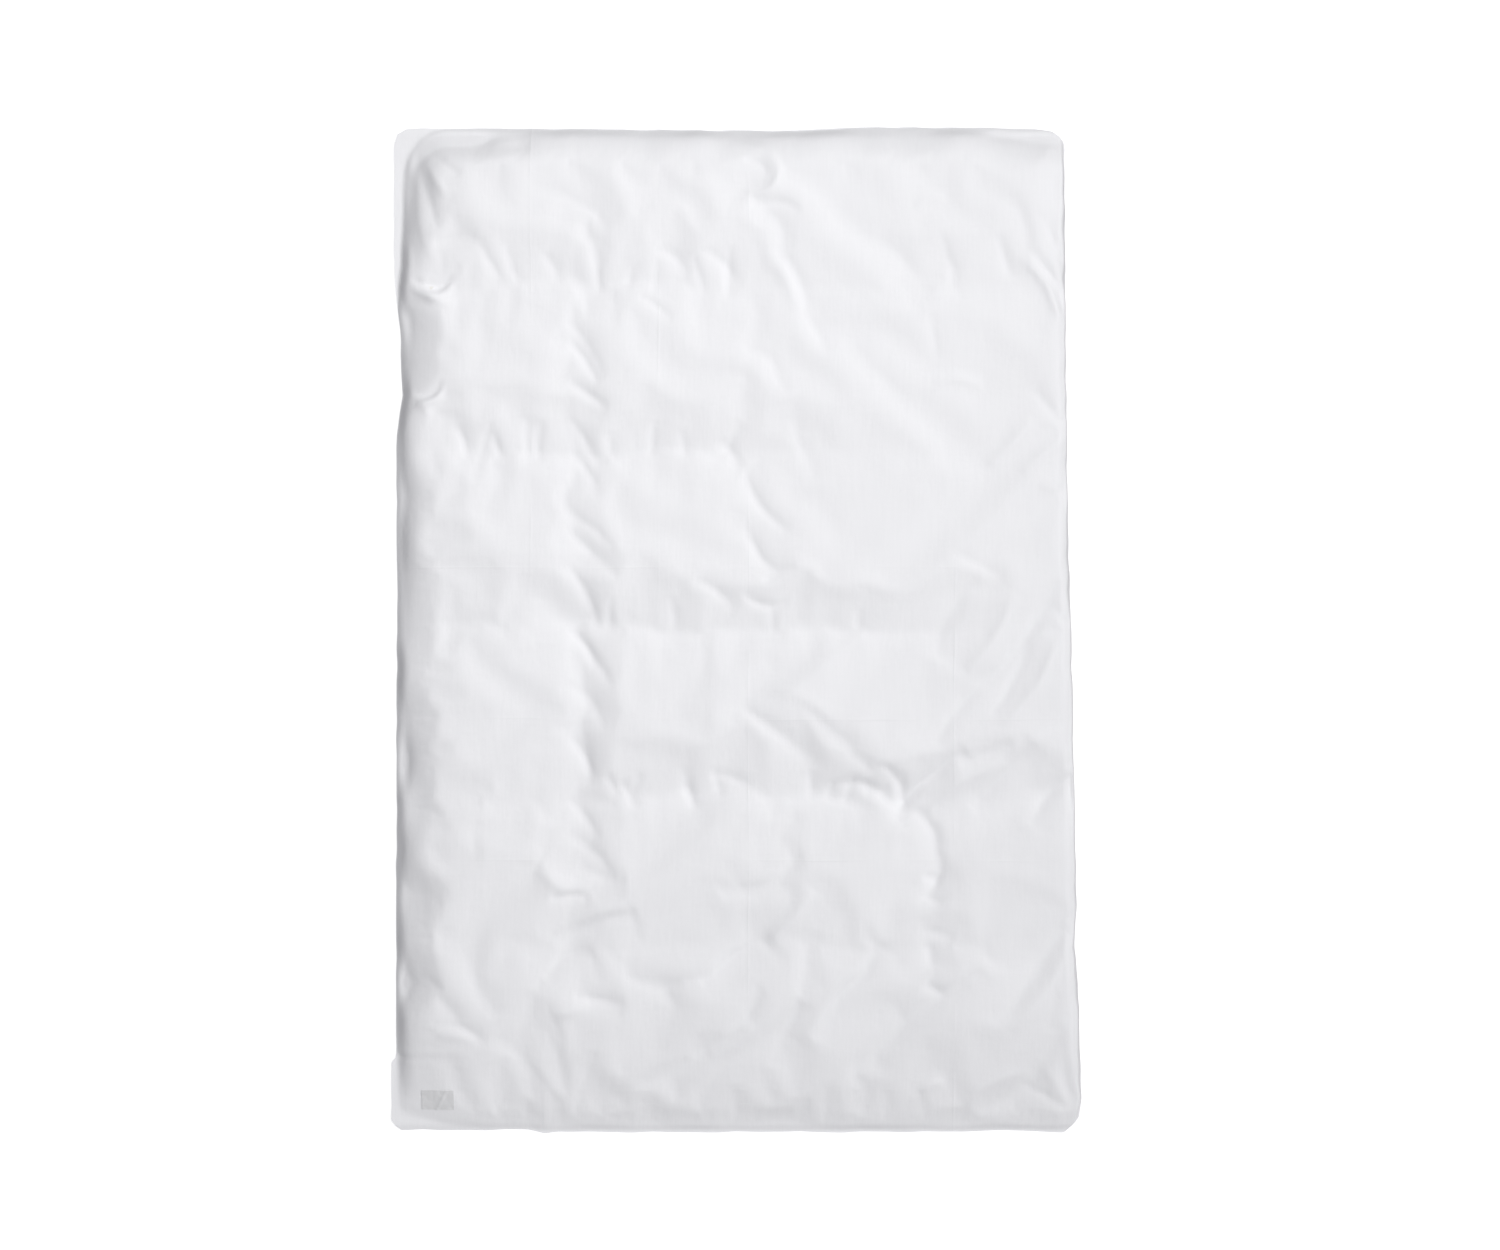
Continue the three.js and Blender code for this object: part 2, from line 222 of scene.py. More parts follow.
def net_solid(
    name: str, x: Array, y: Array, low: Array, high: Array, material: bpy.types.Material
) -> bpy.types.Object:
    """Makes a closed body between a lower and an upper net over the same places.

    Args:
        name: the piece's name.
        x: places across, as a table.
        y: places along.
        low: heights of the underside.
        high: heights of the top.
        material: the finish.

    Returns:
        The new object, with sharp edges round its top and its underside.
    """
    along, across = x.shape
    count = along * across
    vertices = np.concatenate([np.stack([x, y, z], -1).reshape(-1, 3) for z in (low, high)])
    faces = grid_faces(across, along, upside=False) + grid_faces(across, along, first=count)
    ring = grid_border(across, along)
    walls = [(a, b, b + count, a + count) for a, b in zip(ring, ring[1:] + ring[:1])]
    piece = make_piece(name, vertices, faces + walls, material)
    rim = {tuple(sorted(pair)) for wall in walls for pair in (wall[:2], wall[2:])}
    for edge in piece.data.edges:
        edge.use_edge_sharp = tuple(sorted(edge.vertices)) in rim
    return piece


def turned_body(
    name: str, profile: Sequence[Point2], centre: Vector, material: bpy.types.Material, sides: int = 40
) -> bpy.types.Object:
    """Makes a round body from its profile.

    Args:
        name: the piece's name.
        profile: (radius, height) points. It starts and ends on the axis, or closes on itself.
        centre: the foot of its upright axis.
        material: the finish.
        sides: faces round it.

    Returns:
        The new object.
    """
    closed = profile[0][0] > 0
    vertices: list[tuple[float, float, float]] = []
    rings: list[list[int]] = []
    for radius, height in profile:
        count = sides if radius > 0 else 1
        rings.append(list(range(len(vertices), len(vertices) + count)))
        for k in range(count):
            angle = 2 * math.pi * k / sides
            x, y = centre.x + radius * math.cos(angle), centre.y + radius * math.sin(angle)
            vertices.append((x, y, centre.z + height))
    faces: list[tuple[int, ...]] = []
    pairs = list(zip(rings, rings[1:])) + ([(rings[-1], rings[0])] if closed else [])
    for lower, upper in pairs:
        for k in range(sides):
            n = (k + 1) % sides
            if len(lower) == 1:
                faces.append((lower[0], upper[n], upper[k]))
            elif len(upper) == 1:
                faces.append((lower[k], lower[n], upper[0]))
            else:
                faces.append((lower[k], lower[n], upper[n], upper[k]))
    return make_piece(name, np.array(vertices), faces, material)


# ---------------------------------------------------------------------------------------------
# Finishes
# ---------------------------------------------------------------------------------------------
class Shader:
    """Builds one material's nodes, keeping the calls short."""

    def __init__(self, name: str, base_color: tuple[float, float, float], roughness: float) -> None:
        """Starts a material with a Principled shader.

        Args:
            name: the material's name.
            base_color: its colour, linear.
            roughness: its roughness.
        """
        self.material = bpy.data.materials.new(name)
        self.material.use_nodes = True
        self.tree = self.material.node_tree
        self.surface = self.tree.nodes["Principled BSDF"]
        self.surface.inputs["Base Color"].default_value = (*base_color, 1.0)
        self.surface.inputs["Roughness"].default_value = roughness
        self.place = self.add("ShaderNodeTexCoord").outputs["Object"]

    def add(self, kind: str, **settings: object) -> bpy.types.Node:
        """Adds a node and sets its properties.

        Args:
            kind: the node's type.
            settings: its properties by name.

        Returns:
            The node.
        """
        node = self.tree.nodes.new(kind)
        for key, value in settings.items():
            setattr(node, key, value)
        return node

    def feed(self, socket: bpy.types.NodeSocket, value: object) -> None:
        """Links a socket to an output, or sets its value.

        Args:
            socket: the input.
            value: an output to link, or a plain value.
        """
        if isinstance(value, bpy.types.NodeSocket):
            self.tree.links.new(value, socket)
        else:
            socket.default_value = value

    def math(self, operation: str, a: object, b: object = 0.0) -> bpy.types.NodeSocket:
        """A Math node's output.

        Args:
            operation: what it works out.
            a: its first input, an output or a number.
            b: its second input.

        Returns:
            The output.
        """
        node = self.add("ShaderNodeMath", operation=operation)
        self.feed(node.inputs[0], a)
        self.feed(node.inputs[1], b)
        return node.outputs[0]

    def stretched(self, scale: tuple[float, float, float], turn: float = 0.0) -> bpy.types.NodeSocket:
        """The piece's own coordinates, turned about Z and scaled.

        Args:
            scale: the factor along each axis.
            turn: the angle about Z in radians.

        Returns:
            The coordinates' output.
        """
        mapping = self.add("ShaderNodeMapping")
        self.feed(mapping.inputs["Vector"], self.place)
        mapping.inputs["Rotation"].default_value = (0.0, 0.0, turn)
        mapping.inputs["Scale"].default_value = scale
        return mapping.outputs["Vector"]

    def noise(
        self, scale: float, detail: float = 2.0, vector: bpy.types.NodeSocket | None = None
    ) -> bpy.types.NodeSocket:
        """A noise texture's value over the piece's own coordinates.

        Args:
            scale: cells in a metre.
            detail: how many finer layers are added.
            vector: other coordinates to use.

        Returns:
            The value's output.
        """
        node = self.add("ShaderNodeTexNoise")
        self.feed(node.inputs["Vector"], vector or self.place)
        node.inputs["Scale"].default_value = scale
        node.inputs["Detail"].default_value = detail
        return node.outputs[0]

    def weave(self, pitch: float) -> bpy.types.NodeSocket:
        """Height of a plain weave.

        Args:
            pitch: distance between threads in metres.

        Returns:
            The height's output, from -1 to 1.
        """
        axes = self.add("ShaderNodeSeparateXYZ")
        self.feed(axes.inputs[0], self.place)
        waves = [self.math("SINE", self.math("MULTIPLY", axis, math.pi / pitch)) for axis in axes.outputs[:2]]
        return self.math("MULTIPLY", *waves)

    def emboss(self, heights: Sequence[tuple[object, float]]) -> None:
        """Raises the surface by bump.

        Args:
            heights: pairs of a height's output and its depth in metres.
        """
        normal = None
        for height, depth in heights:
            bump = self.add("ShaderNodeBump")
            bump.inputs["Strength"].default_value = 1.0
            bump.inputs["Distance"].default_value = depth
            self.feed(bump.inputs["Height"], height)
            if normal is not None:
                self.feed(bump.inputs["Normal"], normal)
            normal = bump.outputs["Normal"]
        self.feed(self.surface.inputs["Normal"], normal)

    def tint(self, mask: object, light: tuple[float, float, float], dark: tuple[float, float, float]) -> None:
        """Runs the colour from dark to light by a mask.

        Args:
            mask: the output that is 1 where the colour is light.
            light: the light colour, linear.
            dark: the dark colour.
        """
        mix = self.add("ShaderNodeMix", data_type="RGBA")
        self.feed(mix.inputs["Factor"], mask)
        mix.inputs["A"].default_value = (*dark, 1.0)
        mix.inputs["B"].default_value = (*light, 1.0)
        self.feed(self.surface.inputs["Base Color"], mix.outputs["Result"])


@dataclass(frozen=True)
class Percale:
    """Washed cotton percale: a plain weave with faint slubs, small crumples and pressed fold lines.

    Attributes:
        name: the material's name.
        light: colour of the thread's tops.
        dark: colour between them.
        pitch: distance between threads.
        crumple: height of the small crumples.
        presses_x: places across of the pressed fold lines.
        presses_y: places along of the pressed fold lines.
    """

    name: str
    light: tuple[float, float, float] = (0.868, 0.867, 0.879)
    dark: tuple[float, float, float] = (0.832, 0.832, 0.845)
    pitch: float = 0.0007
    crumple: float = 0.0012
    presses_x: tuple[float, ...] = ()
    presses_y: tuple[float, ...] = ()

    def material(self) -> bpy.types.Material:
        """Makes the material.

        Returns:
            The material, ready for its pieces.
        """
        shader = Shader(self.name, self.light, 0.9)
        shader.surface.inputs["Sheen Weight"].default_value = 0.12
        shader.surface.inputs["Sheen Roughness"].default_value = 0.5
        slubs = shader.noise(1.0, 3.0, shader.stretched((260.0, 18.0, 60.0)))
        shader.tint(slubs, self.light, self.dark)
        heights: list[tuple[object, float]] = [(shader.weave(self.pitch), 0.00005), (slubs, 0.00012)]
        heights.append((shader.noise(26.0, 4.0, shader.stretched((1.0, 0.45, 1.0), 0.5)), self.crumple))
        heights.append((shader.noise(60.0, 3.0, shader.stretched((0.5, 1.0, 1.0), -0.35)), self.crumple / 3))
        if self.presses_x or self.presses_y:
            heights.append((self.pressed_lines(shader), 0.0025))
        shader.emboss(heights)
        return shader.material

    def pressed_lines(self, shader: Shader) -> bpy.types.NodeSocket:
        """Fine ridges left by the cover's folding, each faded along its length.

        Args:
            shader: the material's nodes.

        Returns:
            The output of the ridges' height.
        """
        axes = shader.add("ShaderNodeSeparateXYZ")
        shader.feed(axes.inputs[0], shader.place)
        waver = shader.math("MULTIPLY", shader.noise(3.0), 0.012)
        total: object = 0.0
        for axis, places in ((0, self.presses_x), (1, self.presses_y)):
            for k, place in enumerate(places):
                off = shader.math("SUBTRACT", shader.math("ADD", axes.outputs[axis], waver), place + 0.006)
                sharp = shader.math("MULTIPLY", shader.math("ABSOLUTE", off), -450.0)
                line = shader.math("EXPONENT", sharp)
                fade = shader.math("MAXIMUM", shader.math("SUBTRACT", shader.noise(4.0 + k, 1.0), 0.5), 0.0)
                total = shader.math("ADD", total, shader.math("MULTIPLY", line, fade))
        return total


@dataclass(frozen=True)
class Downproof:
    """Tightly woven down-proof cotton with a slight calendered shine.

    Attributes:
        name: the material's name.
        color: its colour, linear.
    """

    name: str = "downproof_cotton"
    color: tuple[float, float, float] = (0.83, 0.82, 0.79)

    def material(self) -> bpy.types.Material:
        """Makes the material.

        Returns:
            The material, ready for its pieces.
        """
        shader = Shader(self.name, self.color, 0.55)
        fine = shader.noise(40.0, 4.0)
        shader.tint(fine, self.color, tuple(0.95 * c for c in self.color))
        shader.emboss([(shader.weave(0.0006), 0.00004), (fine, 0.0015)])
        return shader.material


@dataclass(frozen=True)
class Filling:
    """Down: soft tufts without any gloss.

    Attributes:
        name: the material's name.
        color: its colour, linear.
    """

    name: str = "white_down"
    color: tuple[float, float, float] = (0.88, 0.87, 0.84)

    def material(self) -> bpy.types.Material:
        """Makes the material.

        Returns:
            The material, ready for its pieces.
        """
        shader = Shader(self.name, self.color, 0.95)
        shader.surface.inputs["Sheen Weight"].default_value = 0.5
        tufts = shader.noise(90.0, 5.0)
        shader.tint(tufts, self.color, tuple(0.8 * c for c in self.color))
        shader.emboss([(tufts, 0.004)])
        return shader.material


@dataclass(frozen=True)
class Satin:
    """Woven satin ribbon: fine floats along its length, with a soft shine.

    Attributes:
        name: the material's name.
        color: its colour, linear.
    """

    name: str = "label_satin"
    color: tuple[float, float, float] = (0.78, 0.78, 0.785)

    def material(self) -> bpy.types.Material:
        """Makes the material.

        Returns:
            The material, ready for its pieces.
        """
        shader = Shader(self.name, self.color, 0.38)
        floats = shader.noise(1.0, 2.0, shader.stretched((300.0, 3000.0, 300.0)))
        shader.tint(floats, self.color, tuple(0.9 * c for c in self.color))
        shader.emboss([(floats, 0.0001), (shader.noise(50.0), 0.0008)])
        return shader.material


@dataclass(frozen=True)
class Thread:
    """Mercerised sewing thread.

    Attributes:
        name: the material's name.
        color: its colour, linear.
    """

    name: str = "sewing_thread"
    color: tuple[float, float, float] = (0.84, 0.84, 0.85)

    def material(self) -> bpy.types.Material:
        """Makes the material.

        Returns:
            The material, ready for its pieces.
        """
        shader = Shader(self.name, self.color, 0.5)
        twist = shader.noise(1.0, 1.0, shader.stretched((2500.0, 2500.0, 900.0), 0.6))
        shader.tint(twist, self.color, tuple(0.85 * c for c in self.color))
        shader.emboss([(twist, 0.0001)])
        return shader.material


@dataclass(frozen=True)
class SnapPlastic:
    """Milky moulded plastic of the press studs.

    Attributes:
        name: the material's name.
        color: its colour, linear.
    """

    name: str = "snap_plastic"
    color: tuple[float, float, float] = (0.8, 0.81, 0.82)

    def material(self) -> bpy.types.Material:
        """Makes the material.

        Returns:
            The material, ready for its pieces.
        """
        shader = Shader(self.name, self.color, 0.3)
        shader.surface.inputs["Subsurface Weight"].default_value = 0.1
        shader.surface.inputs["Subsurface Radius"].default_value = (0.002, 0.002, 0.002)
        flow = shader.noise(300.0, 2.0)
        shader.tint(flow, self.color, tuple(0.94 * c for c in self.color))
        shader.emboss([(flow, 0.00008)])
        return shader.material


# ---------------------------------------------------------------------------------------------
# The shape that the cover takes over the quilted insert
# ---------------------------------------------------------------------------------------------
class FoldKind(Enum):
    """What a fold in the cover looks like."""

    RIDGE = "ridge"
    VALLEY = "valley"
    TUCK = "tuck"


@dataclass(frozen=True)
class Fold:
    """One fold of slack cloth.

    Attributes:
        start: one end, as (column, row) in boxes of the quilt, counted from the left and the head.
        end: the other end.
        width: half width in millimetres.
        height: height or depth in millimetres.
        kind: a ridge, a valley or a tuck, which is high on its right side and low on its left.
        bow: how far its middle swings to the left, as a share of its length.
    """

    start: Point2
    end: Point2
    width: float
    height: float
    kind: FoldKind = FoldKind.VALLEY
    bow: float = 0.0

    def lift(self, x: Array, y: Array, first: Array, last: Array) -> Array:
        """Height that the fold adds at each place.

        Args:
            x: places across, in metres.
            y: places along.
            first: the fold's start in metres.
            last: its end in metres.

        Returns:
            Heights in metres.
        """
        run = last - first
        length = float(np.hypot(*run))
        way = run / length
        along = ((x - first[0]) * way[0] + (y - first[1]) * way[1]) / length
        side = -(x - first[0]) * way[1] + (y - first[1]) * way[0]
        side = side - self.bow * length * 4.0 * along * (1.0 - along)
        fade = np.sin(math.pi * np.clip(along, 0.0, 1.0)) ** 0.7
        s = side / (self.width * MM)
        if self.kind is FoldKind.TUCK:
            return self.height * MM * fade * -TUCK_PEAK * s * np.exp(-(s**2))
        crest = np.exp(-1.5 * (np.sqrt(s**2 + 0.12) - 0.35))
        return self.height * MM * fade * (crest if self.kind is FoldKind.RIDGE else -crest)


@dataclass(frozen=True)
class QuiltSeams:
    """The lines that divide the insert into boxes, and how deep the cover sinks along them.

    Attributes:
        columns: places across of the left edge, the seams and the right edge.
        rows: places along of the head edge, the seams and the foot edge.
        row_depths: for each seam that runs across, its depth in millimetres in each column.
        column_depths: for each seam that runs along, its depth in each row.
        head_reach: width of the slope that falls to a seam from its head side.
        foot_reach: how soon the cloth rises again on its foot side.
        left_reach: how soon it falls on the left of a seam that runs along.
        right_reach: width of the slope on its right.
        waver: how far a seam strays from its line in long waves.
        fine_waver: how far it strays in short waves, for a seam that runs across and one that runs along.
        gather: how much the slopes' widths vary, as a share.
    """

    columns: tuple[float, ...] = (-0.652, -0.309, 0.031, 0.372, 0.652)
    rows: tuple[float, ...] = (0.965, 0.653, 0.342, 0.006, -0.321, -0.605, -0.94)
    row_depths: tuple[tuple[float, ...], ...] = (
        (17, 16, 5, 4),
        (15, 18, 3, 2),
        (11, 18, 17, 5),
        (5, 15, 22, 14),
        (3, 7, 8, 5),
    )
    column_depths: tuple[tuple[float, ...], ...] = (
        (2, 5, 7, 13, 8, 2),
        (3, 2, 2, 0, 1, 0),
        (1, 0, 0, 1, 4, 2),
    )
    head_reach: float = 0.105
    foot_reach: float = 0.055
    left_reach: float = 0.040
    right_reach: float = 0.062
    waver: float = 0.013
    fine_waver: Point2 = (0.006, 0.010)
    gather: float = 0.35

    def place(self, box: Point2) -> Array:
        """Metres across and along of a place counted in boxes."""
        across = np.interp(box[0], range(len(self.columns)), self.columns)
        return np.array([across, np.interp(box[1], range(len(self.rows)), self.rows)])

    def box_middles(self, lines: Sequence[float]) -> list[float]:
        """The middles between neighbouring lines, in rising order."""
        return sorted((a + b) / 2 for a, b in zip(lines, lines[1:]))

    def dip(self, off: Array, slope_width: Array, rise: float, rounding: Array) -> Array:
        """A dip near off = 0, with an even slope where off is above 0 and a curved rise below.

        Args:
            off: distance from the seam.
            slope_width: width of the even slope.
            rise: how soon the cloth rises again.
            rounding: half width of the dip's rounded bottom.

        Returns:
            Shares of the seam's depth, from 0 to 1.
        """
        gap = np.hypot(off, rounding) - rounding
        slope = (1.0 - np.clip(gap / slope_width, 0.0, 1.0)) ** 1.25
        return np.where(off > 0, slope, np.exp(-gap / rise))

    def sink(self, x: Array, y: Array) -> Array:
        """How far the seams draw the cover down.

        Args:
            x: places across, in metres.
            y: places along.

        Returns:
            Depths in metres.
        """
        total = np.zeros_like(x)
        middles = self.box_middles(self.columns)
        for k, (line, depths) in enumerate(zip(self.rows[1:-1], self.row_depths)):
            off = y - line - self.waver * soft_noise(x, y * 0 + k, 0.12, 40 + k)
            off = off - self.fine_waver[0] * soft_noise(x, y * 0 + k, 0.035, 45 + k)
            gather = 1.0 + self.gather * soft_noise(x, y * 0.3 + k, 0.06, 50 + k)
            depth = np.interp(x, middles, depths) * MM
            rounding = 0.006 + 0.030 * np.maximum(soft_noise(x, y * 0 + k, 0.13, 80 + k), 0.0)
            total += depth * self.dip(off, self.head_reach * gather, self.foot_reach, rounding)
        middles = self.box_middles(self.rows)
        for k, (line, depths) in enumerate(zip(self.columns[1:-1], self.column_depths)):
            off = x - line - self.waver * soft_noise(x * 0 + k, y, 0.13, 60 + k)
            off = off - self.fine_waver[1] * soft_noise(x * 0 + k, y, 0.05, 65 + k)
            gather = 1.0 + self.gather * soft_noise(x * 0.3 + k, y, 0.06, 70 + k)
            depth = np.interp(y, middles, depths[::-1]) * MM
            rounding = 0.008 + 0.022 * np.maximum(soft_noise(x * 0 + k, y, 0.13, 90 + k), 0.0)
            total += depth * self.dip(off, self.right_reach * gather, self.left_reach, rounding)
        return total


RIDGE, VALLEY, TUCK = FoldKind.RIDGE, FoldKind.VALLEY, FoldKind.TUCK

# The cover's main folds, given one by one where slack cloth gathers between the boxes.
HEAD_FOLDS = (
    Fold((1.88, 0.08), (2.14, 0.24), 13, 7, RIDGE, 0.14),
    Fold((2.14, 0.2), (2.0, 0.44), 12, 6, RIDGE, 0.22),
    Fold((1.95, 0.2), (2.08, 0.3), 9, 5, VALLEY, 0.15),
    Fold((1.98, 0.5), (2.27, 0.52), 11, 5, VALLEY, 0.1),
    Fold((2.05, 0.5), (2.2, 0.8), 24, 4, VALLEY, 0.1),
    Fold((0.8, 0.4), (1.2, 0.65), 20, 4, VALLEY, 0.1),
    Fold((0.55, 0.13), (0.75, 0.13), 10, 4),
    Fold((2.9, 0.5), (3.1, 0.45), 9, 3, RIDGE, 0.1),
    Fold((0.2, 0.73), (0.45, 0.7), 20, 4, VALLEY, 0.1),
    Fold((0.45, 0.7), (0.6, 0.95), 15, 4),
    Fold((0.62, 0.7), (0.7, 0.97), 13, 3.5),
    Fold((0.82, 0.78), (0.92, 0.97), 13, 4, VALLEY, 0.1),
    Fold((1.05, 0.6), (1.15, 0.85), 20, 4),
    Fold((1.45, 0.75), (1.65, 0.92), 17, 5, VALLEY, 0.1),
    Fold((1.7, 0.75), (1.95, 0.97), 17, 5, VALLEY, 0.1),
    Fold((2.65, 0.65), (3.0, 1.05), 28, 4, VALLEY, 0.05),
    Fold((3.07, 0.65), (3.2, 1.1), 15, 4.5),
    Fold((3.45, 0.67), (3.55, 0.95), 15, 4),
    Fold((3.67, 0.77), (3.92, 1.2), 12, 5, TUCK, 0.06),
    Fold((3.72, 0.52), (3.95, 1.1), 14, 5, VALLEY, 0.08),
    Fold((3.55, 0.4), (3.7, 0.8), 18, 3),
)
UPPER_FOLDS = (
    Fold((0.08, 0.98), (0.32, 0.96), 12, 7, TUCK, -0.2),
    Fold((0.13, 0.93), (0.33, 1.1), 12, 5, RIDGE, -0.2),
    Fold((0.1, 1.66), (0.26, 1.6), 11, 6, TUCK, -0.3),
    Fold((0.08, 1.75), (0.2, 1.8), 12, 5, RIDGE, 0.3),
    Fold((2.1, 0.76), (2.3, 1.12), 17, 3, TUCK, 0.06),
    Fold((2.28, 1.1), (2.43, 1.4), 14, 4),
    Fold((2.03, 1.35), (2.2, 1.66), 22, 4.5, VALLEY, 0.08),
    Fold((2.2, 1.66), (2.35, 2.18), 24, 4),
    Fold((3.03, 1.6), (3.36, 1.6), 10, 4.5, RIDGE, 0.1),
    Fold((3.0, 1.15), (3.07, 1.45), 16, 3.5),
    Fold((3.7, 1.55), (3.93, 1.86), 15, 3.5, VALLEY, -0.1),
    Fold((1.8, 1.92), (1.92, 2.1), 14, 5, VALLEY, 0.1),
    Fold((1.92, 1.8), (1.76, 2.05), 17, 4, VALLEY, 0.1),
    Fold((1.36, 1.05), (1.55, 1.2), 10, 4, VALLEY, 0.1),
)
MIDDLE_FOLDS = (
    Fold((1.95, 2.1), (2.2, 2.45), 14, 6, VALLEY, -0.12),
    Fold((1.95, 2.4), (2.16, 2.68), 14, 6, VALLEY, -0.12),
    Fold((2.05, 2.74), (2.25, 2.66), 12, 5, VALLEY, 0.1),
    Fold((1.93, 2.82), (2.2, 2.86), 11, 5.5, VALLEY, -0.1),
    Fold((1.65, 2.72), (1.9, 2.92), 15, 5.5, VALLEY, 0.1),
    Fold((3.4, 2.08), (3.7, 1.82), 14, 5, RIDGE),
    Fold((3.62, 2.12), (3.92, 1.9), 14, 4.5, RIDGE),
    Fold((3.02, 3.2), (3.3, 2.7), 24, 5.5, VALLEY, 0.06),
    Fold((3.1, 2.56), (3.52, 2.7), 15, 3),
    Fold((3.33, 3.36), (3.87, 2.72), 17, 7.5, VALLEY, -0.06),
    Fold((3.24, 3.25), (3.58, 2.8), 18, 6, RIDGE, -0.05),
    Fold((3.02, 3.7), (3.44, 3.24), 17, 6, VALLEY, 0.05),
    Fold((3.4, 3.52), (3.68, 3.07), 15, 5.5, VALLEY, -0.05),
    Fold((3.5, 3.58), (3.9, 2.96), 16, 5.5, RIDGE, -0.08),
    Fold((1.05, 3.55), (1.1, 3.95), 20, 5),
    Fold((1.28, 3.9), (1.34, 4.1), 13, 5),
    Fold((1.6, 3.92), (1.7, 4.1), 12, 6),
    Fold((1.76, 3.86), (2.0, 3.94), 14, 5, VALLEY, 0.1),
    Fold((1.92, 3.4), (2.4, 3.82), 24, 5, VALLEY, -0.05),
    Fold((2.3, 3.5), (2.72, 3.92), 22, 4.5, VALLEY, 0.05),
    Fold((2.08, 3.3), (2.5, 3.62), 20, 3.5, RIDGE, 0.05),
)
STAR_FOLDS = (
    Fold((2.8, 4.14), (3.26, 3.74), 17, 11.5, VALLEY, 0.08),
    Fold((3.2, 3.8), (3.56, 3.68), 23, 8),
    Fold((2.98, 4.1), (3.5, 3.78), 16, 7, RIDGE, 0.06),
    Fold((2.88, 4.14), (2.7, 3.8), 15, 9, VALLEY, -0.1),
    Fold((2.86, 4.1), (2.44, 3.9), 15, 7, VALLEY, -0.12),
    Fold((2.6, 3.98), (2.84, 4.06), 15, 3.5, RIDGE, -0.1),
    Fold((3.28, 4.1), (3.72, 3.7), 18, 8, VALLEY, 0.05),
    Fold((3.36, 4.02), (3.9, 3.58), 21, 5.5, RIDGE, 0.05),
    Fold((3.66, 4.2), (3.97, 3.86), 17, 6.5, VALLEY, 0.05),
    Fold((2.9, 4.06), (3.06, 4.4), 15, 7, VALLEY, 0.1),
    Fold((3.06, 4.36), (2.96, 4.7), 15, 6.5, VALLEY, 0.15),
)
LOWER_FOLDS = (
    Fold((0.8, 4.45), (1.08, 4.62), 22, 9.5, RIDGE, -0.15),
    Fold((0.86, 4.68), (1.08, 4.67), 14, 7, VALLEY, 0.1),
    Fold((1.0, 4.48), (1.28, 4.56), 23, 6),
    Fold((0.9, 5.0), (1.34, 4.78), 23, 8, VALLEY, 0.05),
    Fold((0.88, 4.94), (1.28, 4.72), 20, 6, RIDGE, 0.05),
    Fold((0.84, 5.2), (1.1, 5.04), 19, 7, VALLEY, 0.1),
    Fold((1.0, 5.28), (1.28, 5.34), 16, 8, VALLEY, 0.05),
    Fold((0.88, 5.4), (1.08, 5.28), 19, 7, RIDGE, -0.1),
    Fold((1.52, 5.27), (2.07, 4.96), 24, 8, RIDGE, 0.06),
    Fold((1.7, 5.22), (2.12, 4.93), 20, 7.5, VALLEY, 0.05),
    Fold((2.07, 4.97), (2.34, 4.6), 22, 7, RIDGE, -0.05),
    Fold((1.82, 4.66), (2.27, 4.36), 24, 7.5, VALLEY, -0.12),
    Fold((1.94, 4.6), (2.2, 4.4), 20, 6, RIDGE, -0.1),
    Fold((2.36, 5.52), (2.74, 5.0), 22, 8, VALLEY, 0.03),
    Fold((2.28, 5.55), (2.68, 5.0), 27, 6, RIDGE, 0.03),
    Fold((1.67, 5.62), (2.06, 5.26), 20, 7, VALLEY, -0.08),
    Fold((1.76, 5.6), (2.0, 5.44), 19, 5.5, RIDGE, 0.1),
    Fold((1.28, 5.18), (1.76, 5.15), 19, 5.5, VALLEY, -0.1),
    Fold((3.0, 5.0), (3.02, 5.14), 19, 5.5),
)
FOOT_FOLDS = (
    Fold((1.1, 5.9), (1.94, 5.46), 20, 3, VALLEY, -0.05),
    Fold((0.14, 5.08), (0.48, 5.58), 26, 3, VALLEY, -0.05),
    Fold((0.36, 5.02), (0.56, 5.42), 24, 3),
    Fold((0.84, 5.14), (0.6, 5.62), 26, 3.5, VALLEY, 0.05),
    Fold((0.22, 5.51), (0.47, 5.54), 11, 3, TUCK, 0.1),
    Fold((1.66, 5.92), (2.5, 5.26), 29, 5, VALLEY, 0.06),
    Fold((1.6, 5.84), (2.4, 5.24), 26, 3.5, RIDGE, 0.06),
    Fold((2.1, 5.68), (2.34, 4.88), 24, 4, VALLEY, -0.06),
    Fold((2.54, 5.78), (3.26, 5.2), 29, 7, VALLEY, 0.06),
    Fold((2.84, 5.42), (3.38, 5.08), 24, 5.5, RIDGE, 0.05),
    Fold((2.94, 5.85), (3.1, 5.77), 12, 5, RIDGE, 0.1),
    Fold((3.1, 5.3), (3.36, 5.14), 17, 4, VALLEY, 0.1),
    Fold((3.42, 5.45), (3.96, 4.74), 26, 6.5, VALLEY, -0.06),
    Fold((3.55, 5.5), (3.97, 4.95), 19, 4, RIDGE, -0.05),
    Fold((3.82, 5.5), (3.97, 5.02), 18, 3, VALLEY, 0.06),
    Fold((3.34, 5.96), (3.9, 5.45), 25, 6.5, VALLEY, -0.12),
    Fold((3.24, 5.9), (3.7, 5.7), 18, 4, RIDGE, 0.05),
)


